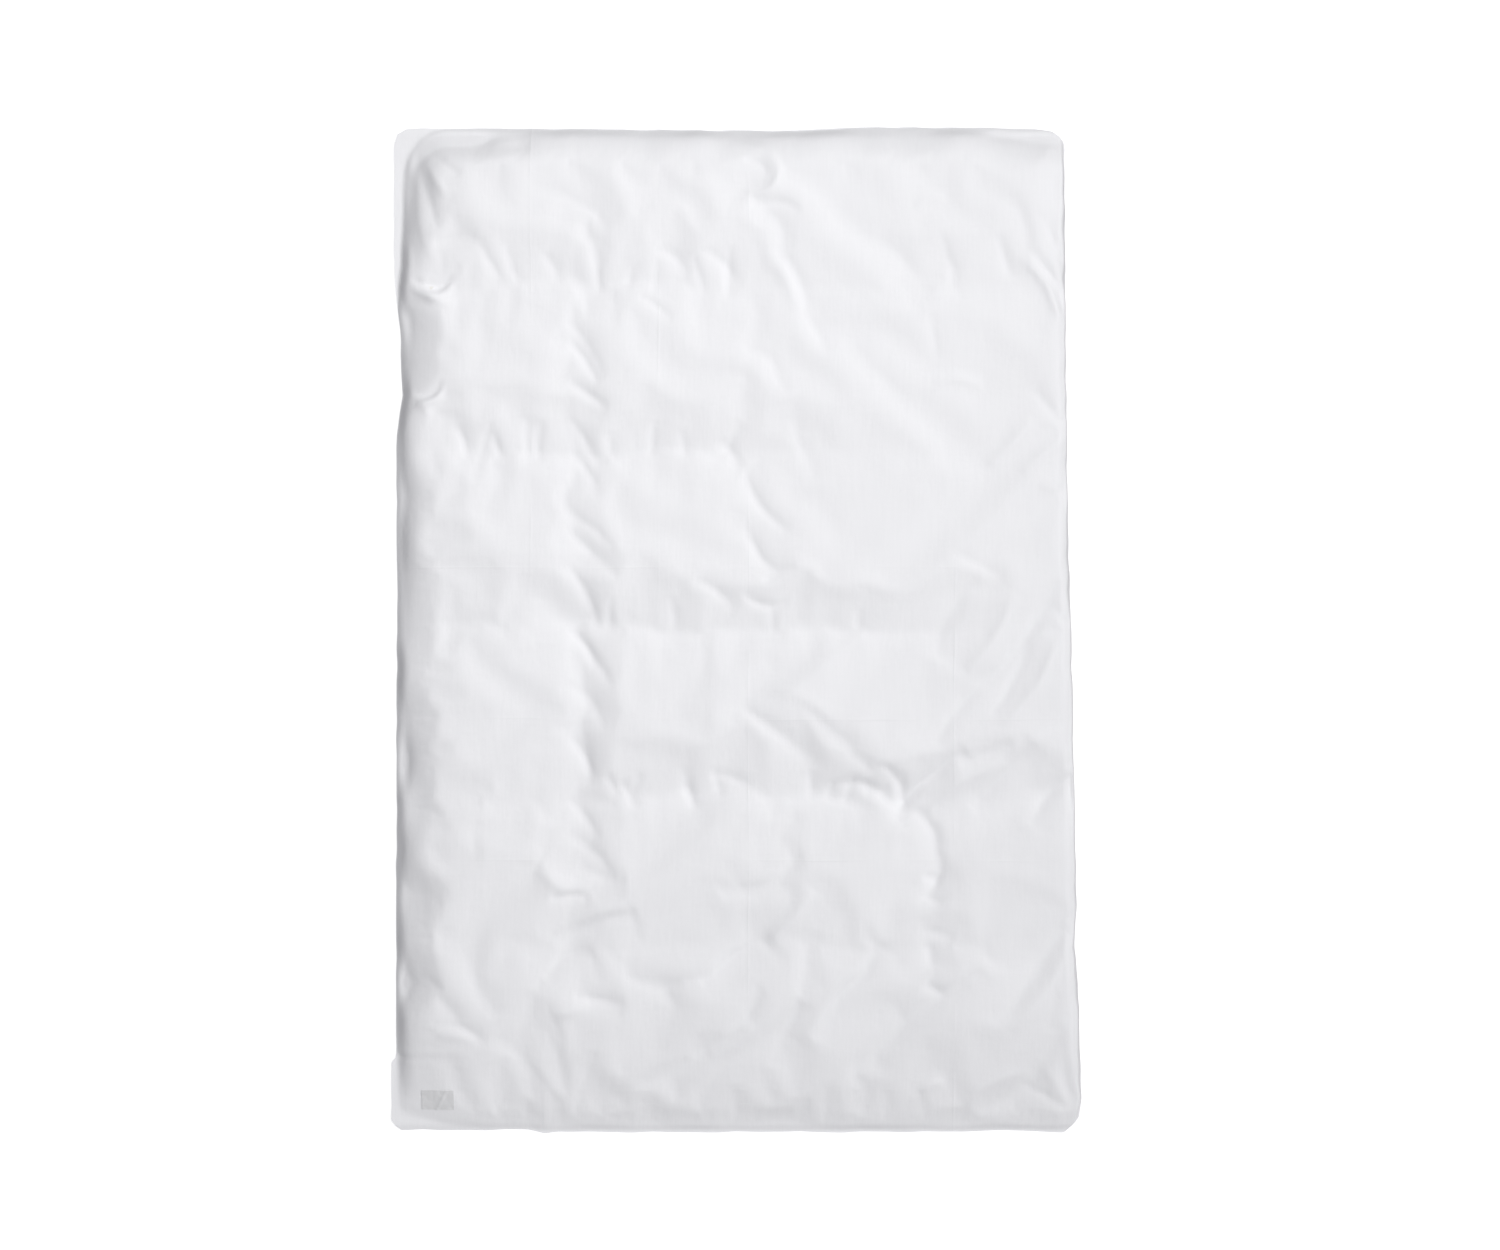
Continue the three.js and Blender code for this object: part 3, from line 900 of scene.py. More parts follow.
def pulls(column: float, rows: Sequence[float], reach: float, fall: float, seed: int) -> list[Fold]:
    """Short slanting pulls across a seam that runs along the duvet.

    Args:
        column: the seam's place, counted in boxes.
        rows: where the pulls start, counted in boxes.
        reach: how far they run to the right, in boxes.
        fall: how far they run towards the foot, in boxes.
        seed: seed of their small differences.

    Returns:
        The pulls.
    """
    draw = np.random.default_rng(seed)
    folds = []
    for row in rows:
        wide, down, deep = draw.uniform(0.5, 1.6), *draw.uniform(0.6, 1.4, 2)
        row = row + draw.uniform(-0.09, 0.09)
        start = (column - 0.04 * wide, row)
        end = (column + reach * wide, row + fall * down)
        folds.append(Fold(start, end, 9 + 4 * wide, 4.6 * deep, VALLEY, 0.06))
    return folds


def ticks(columns: Sequence[float], row: float, length: float, seed: int) -> list[Fold]:
    """Short gathers that hang across a seam that runs across the duvet.

    Args:
        columns: where they hang, counted in boxes.
        row: the seam's place, counted in boxes.
        length: their usual reach towards the head, in boxes.
        seed: seed of their small differences.

    Returns:
        The gathers.
    """
    draw = np.random.default_rng(seed)
    folds = []
    for column in columns:
        lean, long, deep = draw.uniform(-1.0, 1.0), *draw.uniform(0.7, 1.3, 2)
        start = (column - 0.04 * lean, row - length * long)
        end = (column + 0.04 * lean, row + 0.3 * length * long)
        folds.append(Fold(start, end, 9 + 2 * deep, 3.5 * deep))
    return folds


def fan(apex: Point2, ends: Sequence[Point2], width: float, height: float) -> list[Fold]:
    """Folds that spread from one point, each second one a ridge.

    Args:
        apex: the point, in boxes.
        ends: the folds' other ends.
        width: their half width in millimetres.
        height: their height or depth in millimetres.

    Returns:
        The folds.
    """
    kinds = (VALLEY, RIDGE)
    return [Fold(apex, end, width, height, kinds[k % 2]) for k, end in enumerate(ends)]


def all_folds() -> list[Fold]:
    """Gathers the cover's folds: those listed one by one and those that repeat along the seams.

    Returns:
        Every fold, in the order in which they add up.
    """
    folds = [*HEAD_FOLDS, *UPPER_FOLDS, *MIDDLE_FOLDS, *STAR_FOLDS, *LOWER_FOLDS, *FOOT_FOLDS]
    folds += pulls(1.0, np.arange(1.1, 3.0, 0.23), 0.17, 0.27, 1)
    folds += pulls(1.0, np.arange(3.1, 4.6, 0.3), 0.15, 0.24, 2)
    folds += pulls(3.0, (4.5, 4.72, 4.9, 5.14), 0.12, 0.08, 3)
    folds += ticks((0.38, 0.5, 0.57, 0.74, 0.8), 2.0, 0.17, 4)
    folds += ticks((1.12, 1.3, 1.46, 1.71, 1.88), 0.98, 0.2, 5)
    folds += ticks((1.2, 1.45, 1.62), 2.0, 0.14, 6)
    folds += ticks(np.arange(2.34, 2.85, 0.1), 4.0, 0.12, 7)
    folds += ticks((1.2, 1.55, 2.1, 2.6), 3.0, 0.14, 8)
    folds += ticks((1.22, 1.36, 1.62, 1.8), 3.98, 0.13, 10)
    folds += fan((0.04, 0.02), ((0.1, 0.95), (0.18, 0.8), (0.24, 0.62), (0.3, 0.45), (0.36, 0.3)), 12, 6)
    folds += fan((1.0, 5.97), ((0.55, 5.5), (0.72, 5.6), (0.86, 5.45), (0.94, 5.3), (1.1, 5.6)), 17, 2)
    folds += fan((3.97, 5.95), ((3.6, 5.75), (3.75, 5.6), (3.88, 5.5)), 13, 2.2)
    return folds


@dataclass(frozen=True)
class CoverOutline:
    """The cover's outline from above, and the smaller outline of the filling inside it.

    Each side is a list of (place along the side, distance from the centre line) points. The left and
    head sides slope gently, and the right side is plump.

    Attributes:
        left: the left side.
        right: the right side.
        foot: the foot side.
        head: the head side.
        flange: width of the flat empty cloth beside the left side, which is wide near its two corners.
        left_ease: share of the left side's steepness, at places along.
        seam_width: width of the flat seam along the right and head sides.
        foot_seam_width: its width along the foot side.
        waver: height of the outline's small waves.
        steepness: how soon the cloth climbs at the left, right, head and foot sides.
        corner_cuts: how far the foot's left and right corners and then the head's are cut back.
        net_corner: the foot-left corner of the rectangle that places are first laid out in.
        net_size: that rectangle's width and length.
    """

    left: tuple[Point2, ...] = (
        (-0.97, -0.664), (-0.833, -0.665), (-0.822, -0.655), (0.06, -0.653), (0.38, -0.654),
        (0.45, -0.642), (0.58, -0.648), (0.66, -0.658), (0.94, -0.659), (0.97, -0.666),
    )
    right: tuple[Point2, ...] = (
        (-0.97, 0.657), (-0.90, 0.666), (-0.68, 0.659), (-0.61, 0.652), (-0.54, 0.656),
        (-0.14, 0.649), (0.25, 0.639), (0.65, 0.634), (0.93, 0.634), (0.97, 0.628),
    )
    foot: tuple[Point2, ...] = (
        (-0.67, -0.965), (-0.40, -0.965), (-0.367, -0.973), (-0.34, -0.969), (0.40, -0.969),
        (0.49, -0.965), (0.62, -0.970), (0.67, -0.961),
    )
    head: tuple[Point2, ...] = (
        (-0.67, 0.966), (-0.42, 0.967), (-0.20, 0.964), (0.12, 0.962), (0.22, 0.969),
        (0.50, 0.969), (0.60, 0.964), (0.64, 0.960),
    )
    flange: tuple[Point2, ...] = (
        (-0.97, 0.014), (-0.835, 0.013), (-0.815, 0.001), (0.62, 0.001), (0.70, 0.014), (0.97, 0.024),
    )
    left_ease: tuple[Point2, ...] = ((-0.95, 0.5), (-0.70, 1.0))
    seam_width: float = 0.0015
    foot_seam_width: float = 0.005
    waver: float = 0.0014
    steepness: tuple[float, float, float, float] = (0.5, 7.0, 0.5, 1.0)
    corner_cuts: tuple[float, float, float, float] = (0.008, 0.010, 0.012, 0.008)
    net_corner: Point2 = (-0.66, -0.965)
    net_size: Point2 = (1.31, 1.93)

    def sides(self, x: Array, y: Array) -> tuple[Array, Array, Array, Array]:
        """The four sides beside each place, slightly wavy.

        Args:
            x: places across, in metres.
            y: places along.

        Returns:
            The left, right, foot and head sides' distances from the centre lines.
        """
        left = np.interp(y, *zip(*self.left)) + self.waver * soft_noise(0 * y + 1, y, 0.035, 14)
        right = np.interp(y, *zip(*self.right)) - self.waver * soft_noise(0 * y + 2, y, 0.035, 15)
        foot = np.interp(x, *zip(*self.foot)) + self.waver * (0.8 + soft_noise(x, 0 * x + 3, 0.04, 16))
        head = np.interp(x, *zip(*self.head)) - self.waver * soft_noise(x, 0 * x + 4, 0.035, 17)
        return left, right, foot, head

    def shares(self, x: Array, y: Array) -> tuple[Array, Array]:
        """Shares across and along of places in metres."""
        left, right, foot, head = self.sides(x, y)
        return (x - left) / (right - left), (y - foot) / (head - foot)

    def place(self, across: Array, along: Array) -> tuple[Array, Array]:
        """Places in the outline from shares of its width and length.

        Args:
            across: shares from the left (0) to the right (1).
            along: shares from the foot (0) to the head (1).

        Returns:
            Places across and along, in metres.
        """
        x = self.net_corner[0] + self.net_size[0] * across
        y = self.net_corner[1] + self.net_size[1] * along
        left, right, foot, head = self.sides(x, y)
        x, y = left + (right - left) * across, foot + (head - foot) * along
        corners = ((1, left, foot), (-1, right, foot), (1, left, head), (-1, right, head))
        for cut, (inward, side, end) in zip(self.corner_cuts, corners):
            gap = np.abs(x - side) + np.abs(y - end)
            shift = cut * np.clip(1.0 - gap / (2.5 * cut), 0.0, 1.0)
            x, y = x + inward * shift, y + np.where(end > 0, -shift, shift)
        return x, y

    def fill_left(self, y: Array) -> Array:
        """The filling's left side, inside the flat flange."""
        return np.interp(y, *zip(*self.left)) + np.interp(y, *zip(*self.flange))

    def fill_right(self, y: Array) -> Array:
        """The filling's right side."""
        return np.interp(y, *zip(*self.right)) - self.seam_width

    def margins(self, x: Array, y: Array) -> tuple[Array, Array, Array, Array]:
        """Distances inwards from the filling's sides, which follow the outline.

        Args:
            x: places across, in metres.
            y: places along.

        Returns:
            Distances from the left, right, head and foot sides.
        """
        left, right, foot, head = self.sides(x, y)
        flange = np.interp(y, *zip(*self.flange))
        seam = self.seam_width
        return x - left - flange, right - seam - x, head - seam - y, y - foot - self.foot_seam_width

    def depth(self, x: Array, y: Array) -> Array:
        """Distance inwards from the filling's outline, whose corners are round, times the steepness.

        Args:
            x: places across, in metres.
            y: places along.

        Returns:
            Distances in metres, below 0 outside the filling.
        """
        sides = self.margins(x, y)
        left, right, head, foot = (side * gain for side, gain in zip(sides, self.steepness))
        left = left * np.interp(y, *zip(*self.left_ease))
        inside = np.minimum(np.minimum(left, right), np.minimum(head, foot))
        corners = ((left, foot, 0.05), (right, foot, 0.06), (left, head, 0.045), (right, head, 0.05))
        for a, b, radius in corners:
            rounded = radius - np.hypot(np.maximum(radius - a, 0), np.maximum(radius - b, 0))
            inside = np.where((a < radius) & (b < radius), np.minimum(inside, rounded), inside)
        return inside


@dataclass
class CoverShape:
    """The height of the cover's top over the filling, as a formula that holds everywhere.

    Attributes:
        outline: the cover's outline.
        seams: the quilt's seams.
        edge_level: height of the flat flange round the filling.
        lip: how much higher the cloth stands where the filling starts.
        edge_wander: how far the side's foot strays in and out.
        side_wander: how much farther its shoulder strays.
        wander_cell: size of those waves.
        hem_drop: how far the foot edge turns down.
        hem_line: place along from where it turns down.
        hem_turn: width over which it turns down.
        side_rise: height of the rounded side above the lip.
        side_width: width of the rounded side.
        crown_rise: how much higher the middle stands than the side.
        crown_width: width over which it climbs.
        wave_rise: height of the broad soft waves.
        wave_cell: size of those waves.
        foot_ramp: length of the long slope to the foot.
        foot_least: share of the full height that is left at the foot.
        full_width: distance inwards at which the seams and waves have their full depth.
        ceiling: the highest that the cover may stand.
        ceiling_softness: how soon the height levels off under the ceiling.
        folds: the folds of slack cloth.
    """

    outline: CoverOutline = field(default_factory=CoverOutline)
    seams: QuiltSeams = field(default_factory=QuiltSeams)
    edge_level: float = 0.005
    lip: float = 0.005
    edge_wander: float = 0.004
    side_wander: float = 0.010
    wander_cell: float = 0.085
    hem_drop: float = 0.003
    hem_line: float = -0.952
    hem_turn: float = 0.014
    side_rise: float = 0.037
    side_width: float = 0.042
    crown_rise: float = 0.010
    crown_width: float = 0.17
    wave_rise: float = 0.0026
    wave_cell: float = 0.15
    foot_ramp: float = 0.30
    foot_least: float = 0.02
    full_width: float = 0.07
    ceiling: float = 0.069
    ceiling_softness: float = 0.0015
    folds: list[Fold] = field(default_factory=all_folds)

    def height(self, x: Array, y: Array) -> Array:
        """Height of the cloth before it settles.

        Args:
            x: places across, in metres.
            y: places along.

        Returns:
            Heights in metres.
        """
        inside = self.outline.depth(x, y)
        wander = (self.edge_wander + self.side_wander * bell(inside - 0.03, 0.04)) * smooth(inside / 0.012)
        wandered = np.maximum(inside + wander * soft_noise(x, y, self.wander_cell, 11), 0.4 * inside)
        inside = np.where(inside > 0, wandered, inside)
        ramp = np.clip(self.outline.margins(x, y)[3] / self.foot_ramp, 0.0, 1.0)
        ramp = self.foot_least + (1.0 - self.foot_least) * np.sin(ramp * math.pi / 2) ** 0.85
        side = np.sin(np.clip(inside / self.side_width, 0.0, 1.0) * math.pi / 2) ** 0.82
        crown = smooth(self.crown_depth(x, y, inside) / self.crown_width)
        swell = (self.side_rise * side + self.crown_rise * crown) * ramp
        lip = self.lip * smooth((inside + 0.003) / 0.015) * (0.15 + 0.85 * ramp)
        z = self.edge_level + lip + swell - self.hem_drop * smooth((self.hem_line - y) / self.hem_turn)
        full = smooth(inside / self.full_width) * ramp
        z = z - self.seams.sink(x, y) * full
        z = z + full * (self.wave_rise * soft_noise(x, y, self.wave_cell, 12) + self.slant(x, y))
        z = z + self.slack(x, y) * smooth((inside + 0.002) / 0.04)
        soft = self.ceiling_softness
        return self.ceiling - soft * np.log1p(np.exp((self.ceiling - z) / soft))

    def crown_depth(self, x: Array, y: Array, inside: Array) -> Array:
        """Distance inwards that the crown rises by: soon on the right, slowly on the left."""
        left, right, head, _ = self.outline.margins(x, y)
        return np.maximum(np.minimum(np.minimum(1.2 * left, 3.0 * right), 2.2 * head), inside)

    def slant(self, x: Array, y: Array) -> Array:
        """Long low waves that run down to the right, and up to the right near the foot and right side.

        Args:
            x: places across, in metres.
            y: places along.

        Returns:
            Heights in metres.
        """
        turn = smooth((0.25 + 0.45 * x - y) / 0.5)
        falling = soft_noise((x + y) / 1.41, (x - y) / 1.41 * 0.35, 0.055, 18)
        side, run = 0.63 * x - 0.77 * y, 0.3 * (0.77 * x + 0.63 * y)
        rising = soft_noise(side, run, 0.06, 19)
        crests = 0.5 - np.sqrt(soft_noise(side, run, 0.1, 20) ** 2 + 0.004)
        return 0.0022 * falling * (1 - turn) + (0.0024 * rising + 0.0062 * crests) * turn

    def slack(self, x: Array, y: Array) -> Array:
        """Sum of the folds, along slightly wavering lines.

        Args:
            x: places across, in metres.
            y: places along.

        Returns:
            Heights in metres.
        """
        px = x + 0.006 * soft_noise(x, y, 0.07, 21) + 0.0025 * soft_noise(x, y, 0.03, 22)
        py = y + 0.006 * soft_noise(x, y, 0.07, 23) + 0.0025 * soft_noise(x, y, 0.03, 24)
        total = np.zeros_like(x)
        for fold in self.folds:
            first, last = self.seams.place(fold.start), self.seams.place(fold.end)
            margin = 4 * fold.width * MM
            low, high = np.minimum(first, last) - margin, np.maximum(first, last) + margin
            near = (px > low[0]) & (px < high[0]) & (py > low[1]) & (py < high[1])
            total[near] += fold.lift(px[near], py[near], first, last)
        return total


# ---------------------------------------------------------------------------------------------
# Pieces
# ---------------------------------------------------------------------------------------------
@dataclass(frozen=True)
class Bend:
    """Cloth that crosses a joint.

    Attributes:
        fixed: the body that it follows before start; not used.
        moving: the body that it follows after end; not used.
        start: place along where it begins to bend; not used.
        end: place along where the bend ends; not used.
    """

    fixed: str
    moving: str
    start: float
    end: float


HEAD_BEND = Bend(ROOT, HEAD_SECTION, 0.21, 0.45)
MOUTH_BEND = Bend(ROOT, MOUTH_FLAP, -0.895, -0.93)


def belong(piece: bpy.types.Object, nodes: Sequence[str] = (), on: str | Bend = ROOT) -> None:
    """Hides the CAD nodes that a finished piece stands for, parents it to its body's empty and logs its
    faces.

    Args:
        piece: the piece.
        nodes: the CAD nodes that it stands for.
        on: the body that it rides on, or a bend, for which it is left unparented with its transform baked.
    """
    if nodes:
        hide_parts(*nodes)
    if isinstance(on, Bend):
        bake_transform(piece)
    else:
        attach(piece, on)
    LOG.info("%s: %d faces", piece.name, len(piece.data.polygons))


def spaced(edge_steps: Sequence[float], start: float, end: float, pitch: float) -> Array:
    """Shares from 0 to 1 that lie close together at both ends and evenly between them.

    Args:
        edge_steps: distances of the close lines from each end, in metres, the last one included.
        start: place of the first line, in metres.
        end: place of the last line.
        pitch: largest distance between the even lines.

    Returns:
        The shares in rising order.
    """
    near = np.array(edge_steps)
    inner = np.linspace(start + near[-1], end - near[-1], math.ceil((end - start - 2 * near[-1]) / pitch) + 1)
    lines = np.concatenate([start + near[:-1], inner, (end - near[:-1])[::-1]])
    return (lines - start) / (end - start)


@dataclass
class Drape:
    """A cloth simulation that lets the cover's top settle into natural small folds.

    The cloth is cut slightly too large for its form, and soft springs hold it to that form: firmly along
    the side seam and where the insert's seams draw it down, and loosely over the fillings.

    Attributes:
        pitch: distance between the lines of the simulated net.
        edge_steps: distances of its close lines from each edge.
        slack: how much too large the cloth is.
        frames: steps of the simulation.
        bending: how stiff the cloth is against bending.
        loose: the springs' weight over the fillings.
        reach: the farthest that a point may move.
        grades: how many grades of firmness the springs have.
    """

    pitch: float = 0.0095
    edge_steps: tuple[float, ...] = (0.0, 0.006, 0.012)
    slack: float = 0.0035
    frames: int = 16
    bending: float = 3.0
    loose: float = 0.10
    reach: float = 0.008
    grades: int = 10

    def settle(self, shape: CoverShape) -> None:
        """Runs the simulation and keeps how far each point moves.

        Args:
            shape: the form that the cloth starts from.
        """
        self.shape = shape
        self.across, self.along = (
            spaced(self.edge_steps, 0.0, length, self.pitch) for length in shape.outline.net_size
        )
        x, y = shape.outline.place(*np.meshgrid(self.across, self.along))
        start = np.stack([x, y, shape.height(x, y)], -1)
        self.moves = np.zeros_like(start)
        cloth = net_sheet("settling_cloth", *np.moveaxis(start, -1, 0), bpy.data.materials.new("settling"))
        self.hold(cloth, x, y)
        self.stiffen(cloth)
        for step in range(1, self.frames + 1):
            bpy.context.scene.frame_set(step)
        settled = cloth.evaluated_get(bpy.context.evaluated_depsgraph_get()).to_mesh()
        places = np.zeros(start.size)
        settled.vertices.foreach_get("co", places)
        self.moves = np.clip(places.reshape(start.shape) - start, -self.reach, self.reach)
        bpy.data.objects.remove(cloth)
        bpy.context.scene.frame_set(1)

    def hold(self, cloth: bpy.types.Object, x: Array, y: Array) -> None:
        """Ties the cloth to its form, firmly at its edge and seams and loosely over the fillings.

        Args:
            cloth: the cloth.
            x: its vertices' places across, in metres.
            y: its vertices' places along.
        """
        inside = np.maximum(self.shape.outline.depth(x, y), 0.0)
        firm = self.loose + 0.15 * smooth(self.shape.seams.sink(x, y) / 0.012) + bell(inside, 0.025)
        grades = np.round(np.clip(firm, 0.0, 1.0) * self.grades).astype(int).ravel()
        group = cloth.vertex_groups.new(name="hold")
        for grade in range(1, self.grades + 1):
            group.add(np.nonzero(grades == grade)[0].tolist(), grade / self.grades, "REPLACE")

    def stiffen(self, cloth: bpy.types.Object) -> None:
        """Gives the cloth the stiffness of percale, without weight.

        Args:
            cloth: the cloth.
        """
        modifier = cloth.modifiers.new("cloth", "CLOTH")
        modifier.point_cache.frame_end = self.frames
        modifier.collision_settings.use_collision = False
        settings = modifier.settings
        settings.quality, settings.mass, settings.air_damping = 5, 0.15, 2.0
        settings.tension_stiffness = settings.compression_stiffness = 20.0
        settings.shear_stiffness, settings.bending_stiffness = 8.0, self.bending
        settings.vertex_group_mass, settings.pin_stiffness = "hold", 1.0
        settings.shrink_min = -self.slack
        settings.effector_weights.gravity = 0.0

    def move_at(self, x: Array, y: Array) -> Array:
        """How far the cloth has moved.

        Args:
            x: places across, in metres.
            y: places along.

        Returns:
            A table of x, y, z moves, one for each place.
        """
        across, along = self.shape.outline.shares(x, y)
        column = np.interp(across, self.across, np.arange(len(self.across)))
        row = np.interp(along, self.along, np.arange(len(self.along)))
        c = np.minimum(column.astype(int), len(self.across) - 2)
        r = np.minimum(row.astype(int), len(self.along) - 2)
        fc, fr = smooth(column - c)[..., None], smooth(row - r)[..., None]
        lower = self.moves[r, c] * (1 - fc) + self.moves[r, c + 1] * fc
        upper = self.moves[r + 1, c] * (1 - fc) + self.moves[r + 1, c + 1] * fc
        return lower * (1 - fr) + upper * fr


@dataclass
class Cover:
    """The cover: its top panel, its back panel and the hem band that closes the mouth.

    Attributes:
        shape: the form that the top takes.
        drape: the settled cloth's small moves away from that form.
        cotton: the finish of its cloth.
        pitch: distance between the lines of the top's net.
        edge_steps: distances of the net's close lines from each edge.
        mouth_half: half the width of the mouth.
        band_depth: depth of the hem band with the cloth that turns with it.
        hem_thickness: thickness of the doubled hem band.
        back_rise: width over which the back panel climbs to the side seam.
        back_level: height of the back panel where it lies flat.
        flat_size: width and length of each panel as cut; not used.
    """

    shape: CoverShape
    drape: Drape
    cotton: bpy.types.Material
    pitch: float = 0.0056
    edge_steps: tuple[float, ...] = (
        0.0, 0.002, 0.004, 0.007, 0.010, 0.014, 0.018, 0.023, 0.028, 0.034, 0.040,
    )
    mouth_half: float = 0.375
    band_depth: float = 0.078
    hem_thickness: float = 0.0009
    back_rise: float = 0.011
    back_level: float = 0.0006
    flat_size: tuple[float, float] = (1.40, 2.00)

    def __post_init__(self) -> None:
        """Works out the net of places that all the panels share."""
        outline = self.shape.outline
        across, along = (spaced(self.edge_steps, 0.0, length, self.pitch) for length in outline.net_size)
        x, y = outline.place(*np.meshgrid(across, along))
        moves = self.drape.move_at(x, y)
        self.x, self.y, self.z = x + moves[..., 0], y + moves[..., 1], self.height(x, y)
        middle = x[0]
        self.band_columns = np.nonzero(np.abs(middle) < self.mouth_half)[0]
        band_line = outline.net_corner[1] + self.band_depth
        self.band_rows = int(np.searchsorted(self.y[:, len(middle) // 2], band_line))

    def height(self, x: Array, y: Array) -> Array:
        """Height of the settled cloth at each place, kept under the ceiling."""
        settled = self.shape.height(x, y) + self.drape.move_at(x, y)[..., 2]
        return np.minimum(settled, self.shape.ceiling + MM)

    def build(self) -> None:
        """Makes all the cover's pieces."""
        self.top()
        self.back()
        self.band()

    def top(self) -> None:
        """The top panel, open where the hem band joins it."""
        keep = np.ones((self.x.shape[0] - 1, self.x.shape[1] - 1), bool)
        keep[: self.band_rows, self.band_columns[0] : self.band_columns[-1]] = False
        piece = net_sheet("cover_top", self.x, self.y, self.z, self.cotton, keep)
        belong(piece, ["cover_top_panel"], HEAD_BEND)

    def back(self) -> None:
        """The back panel, flat on the floor and drawn up to the side seam round its edge."""
        rows, columns = (sorted({*range(0, n, 2), n - 1}) for n in self.x.shape)
        x, y = self.x[np.ix_(rows, columns)], self.y[np.ix_(rows, columns)]
        edge = self.edge_height(rows, columns)
        inside = border_distance(x, y)
        z = self.back_level + (edge - self.back_level) * (1 - smooth(inside / self.back_rise)) ** 1.5
        z = z + 0.0003 * (1 + soft_noise(x, y, 0.05, 31)) * smooth(inside / 0.03)
        piece = net_sheet("cover_back", x, y, z, self.cotton, upside=False)
        belong(piece, ["cover_back_panel"], HEAD_BEND)

    def edge_height(self, rows: Sequence[int], columns: Sequence[int]) -> Array:
        """Height of the side seam near each place of the back panel.

        Args:
            rows: the rows of the shared net that the panel uses.
            columns: the columns that it uses.

        Returns:
            Heights in metres, those of the nearest points counting most.
        """
        z = self.z.copy()
        first, last = self.band_columns[0], self.band_columns[-1]
        z[0, first : last + 1] = self.back_level
        left, right, foot, head = z[rows, 0], z[rows, -1], z[0, columns], z[-1, columns]
        x, y = self.x[np.ix_(rows, columns)], self.y[np.ix_(rows, columns)]
        gaps = np.stack([x - x[:, :1], x[:, -1:] - x, y - y[:1], y[-1:] - y]) + 0.0005
        weight = gaps**-3.0
        sides = [left[:, None] + 0 * x, right[:, None] + 0 * x, foot[None] + 0 * x, head[None] + 0 * x]
        return sum(w * s for w, s in zip(weight, sides)) / weight.sum(0)

    def band(self) -> None:
        """The hem band of the mouth, a doubled strip."""
        part = np.ix_(range(self.band_rows + 1), self.band_columns)
        x, y, z = self.x[part], self.y[part], self.z[part]
        piece = net_solid("mouth_band", x, y, z - self.hem_thickness, z, self.cotton)
        belong(piece, ["mouth_hem_band"], MOUTH_BEND)


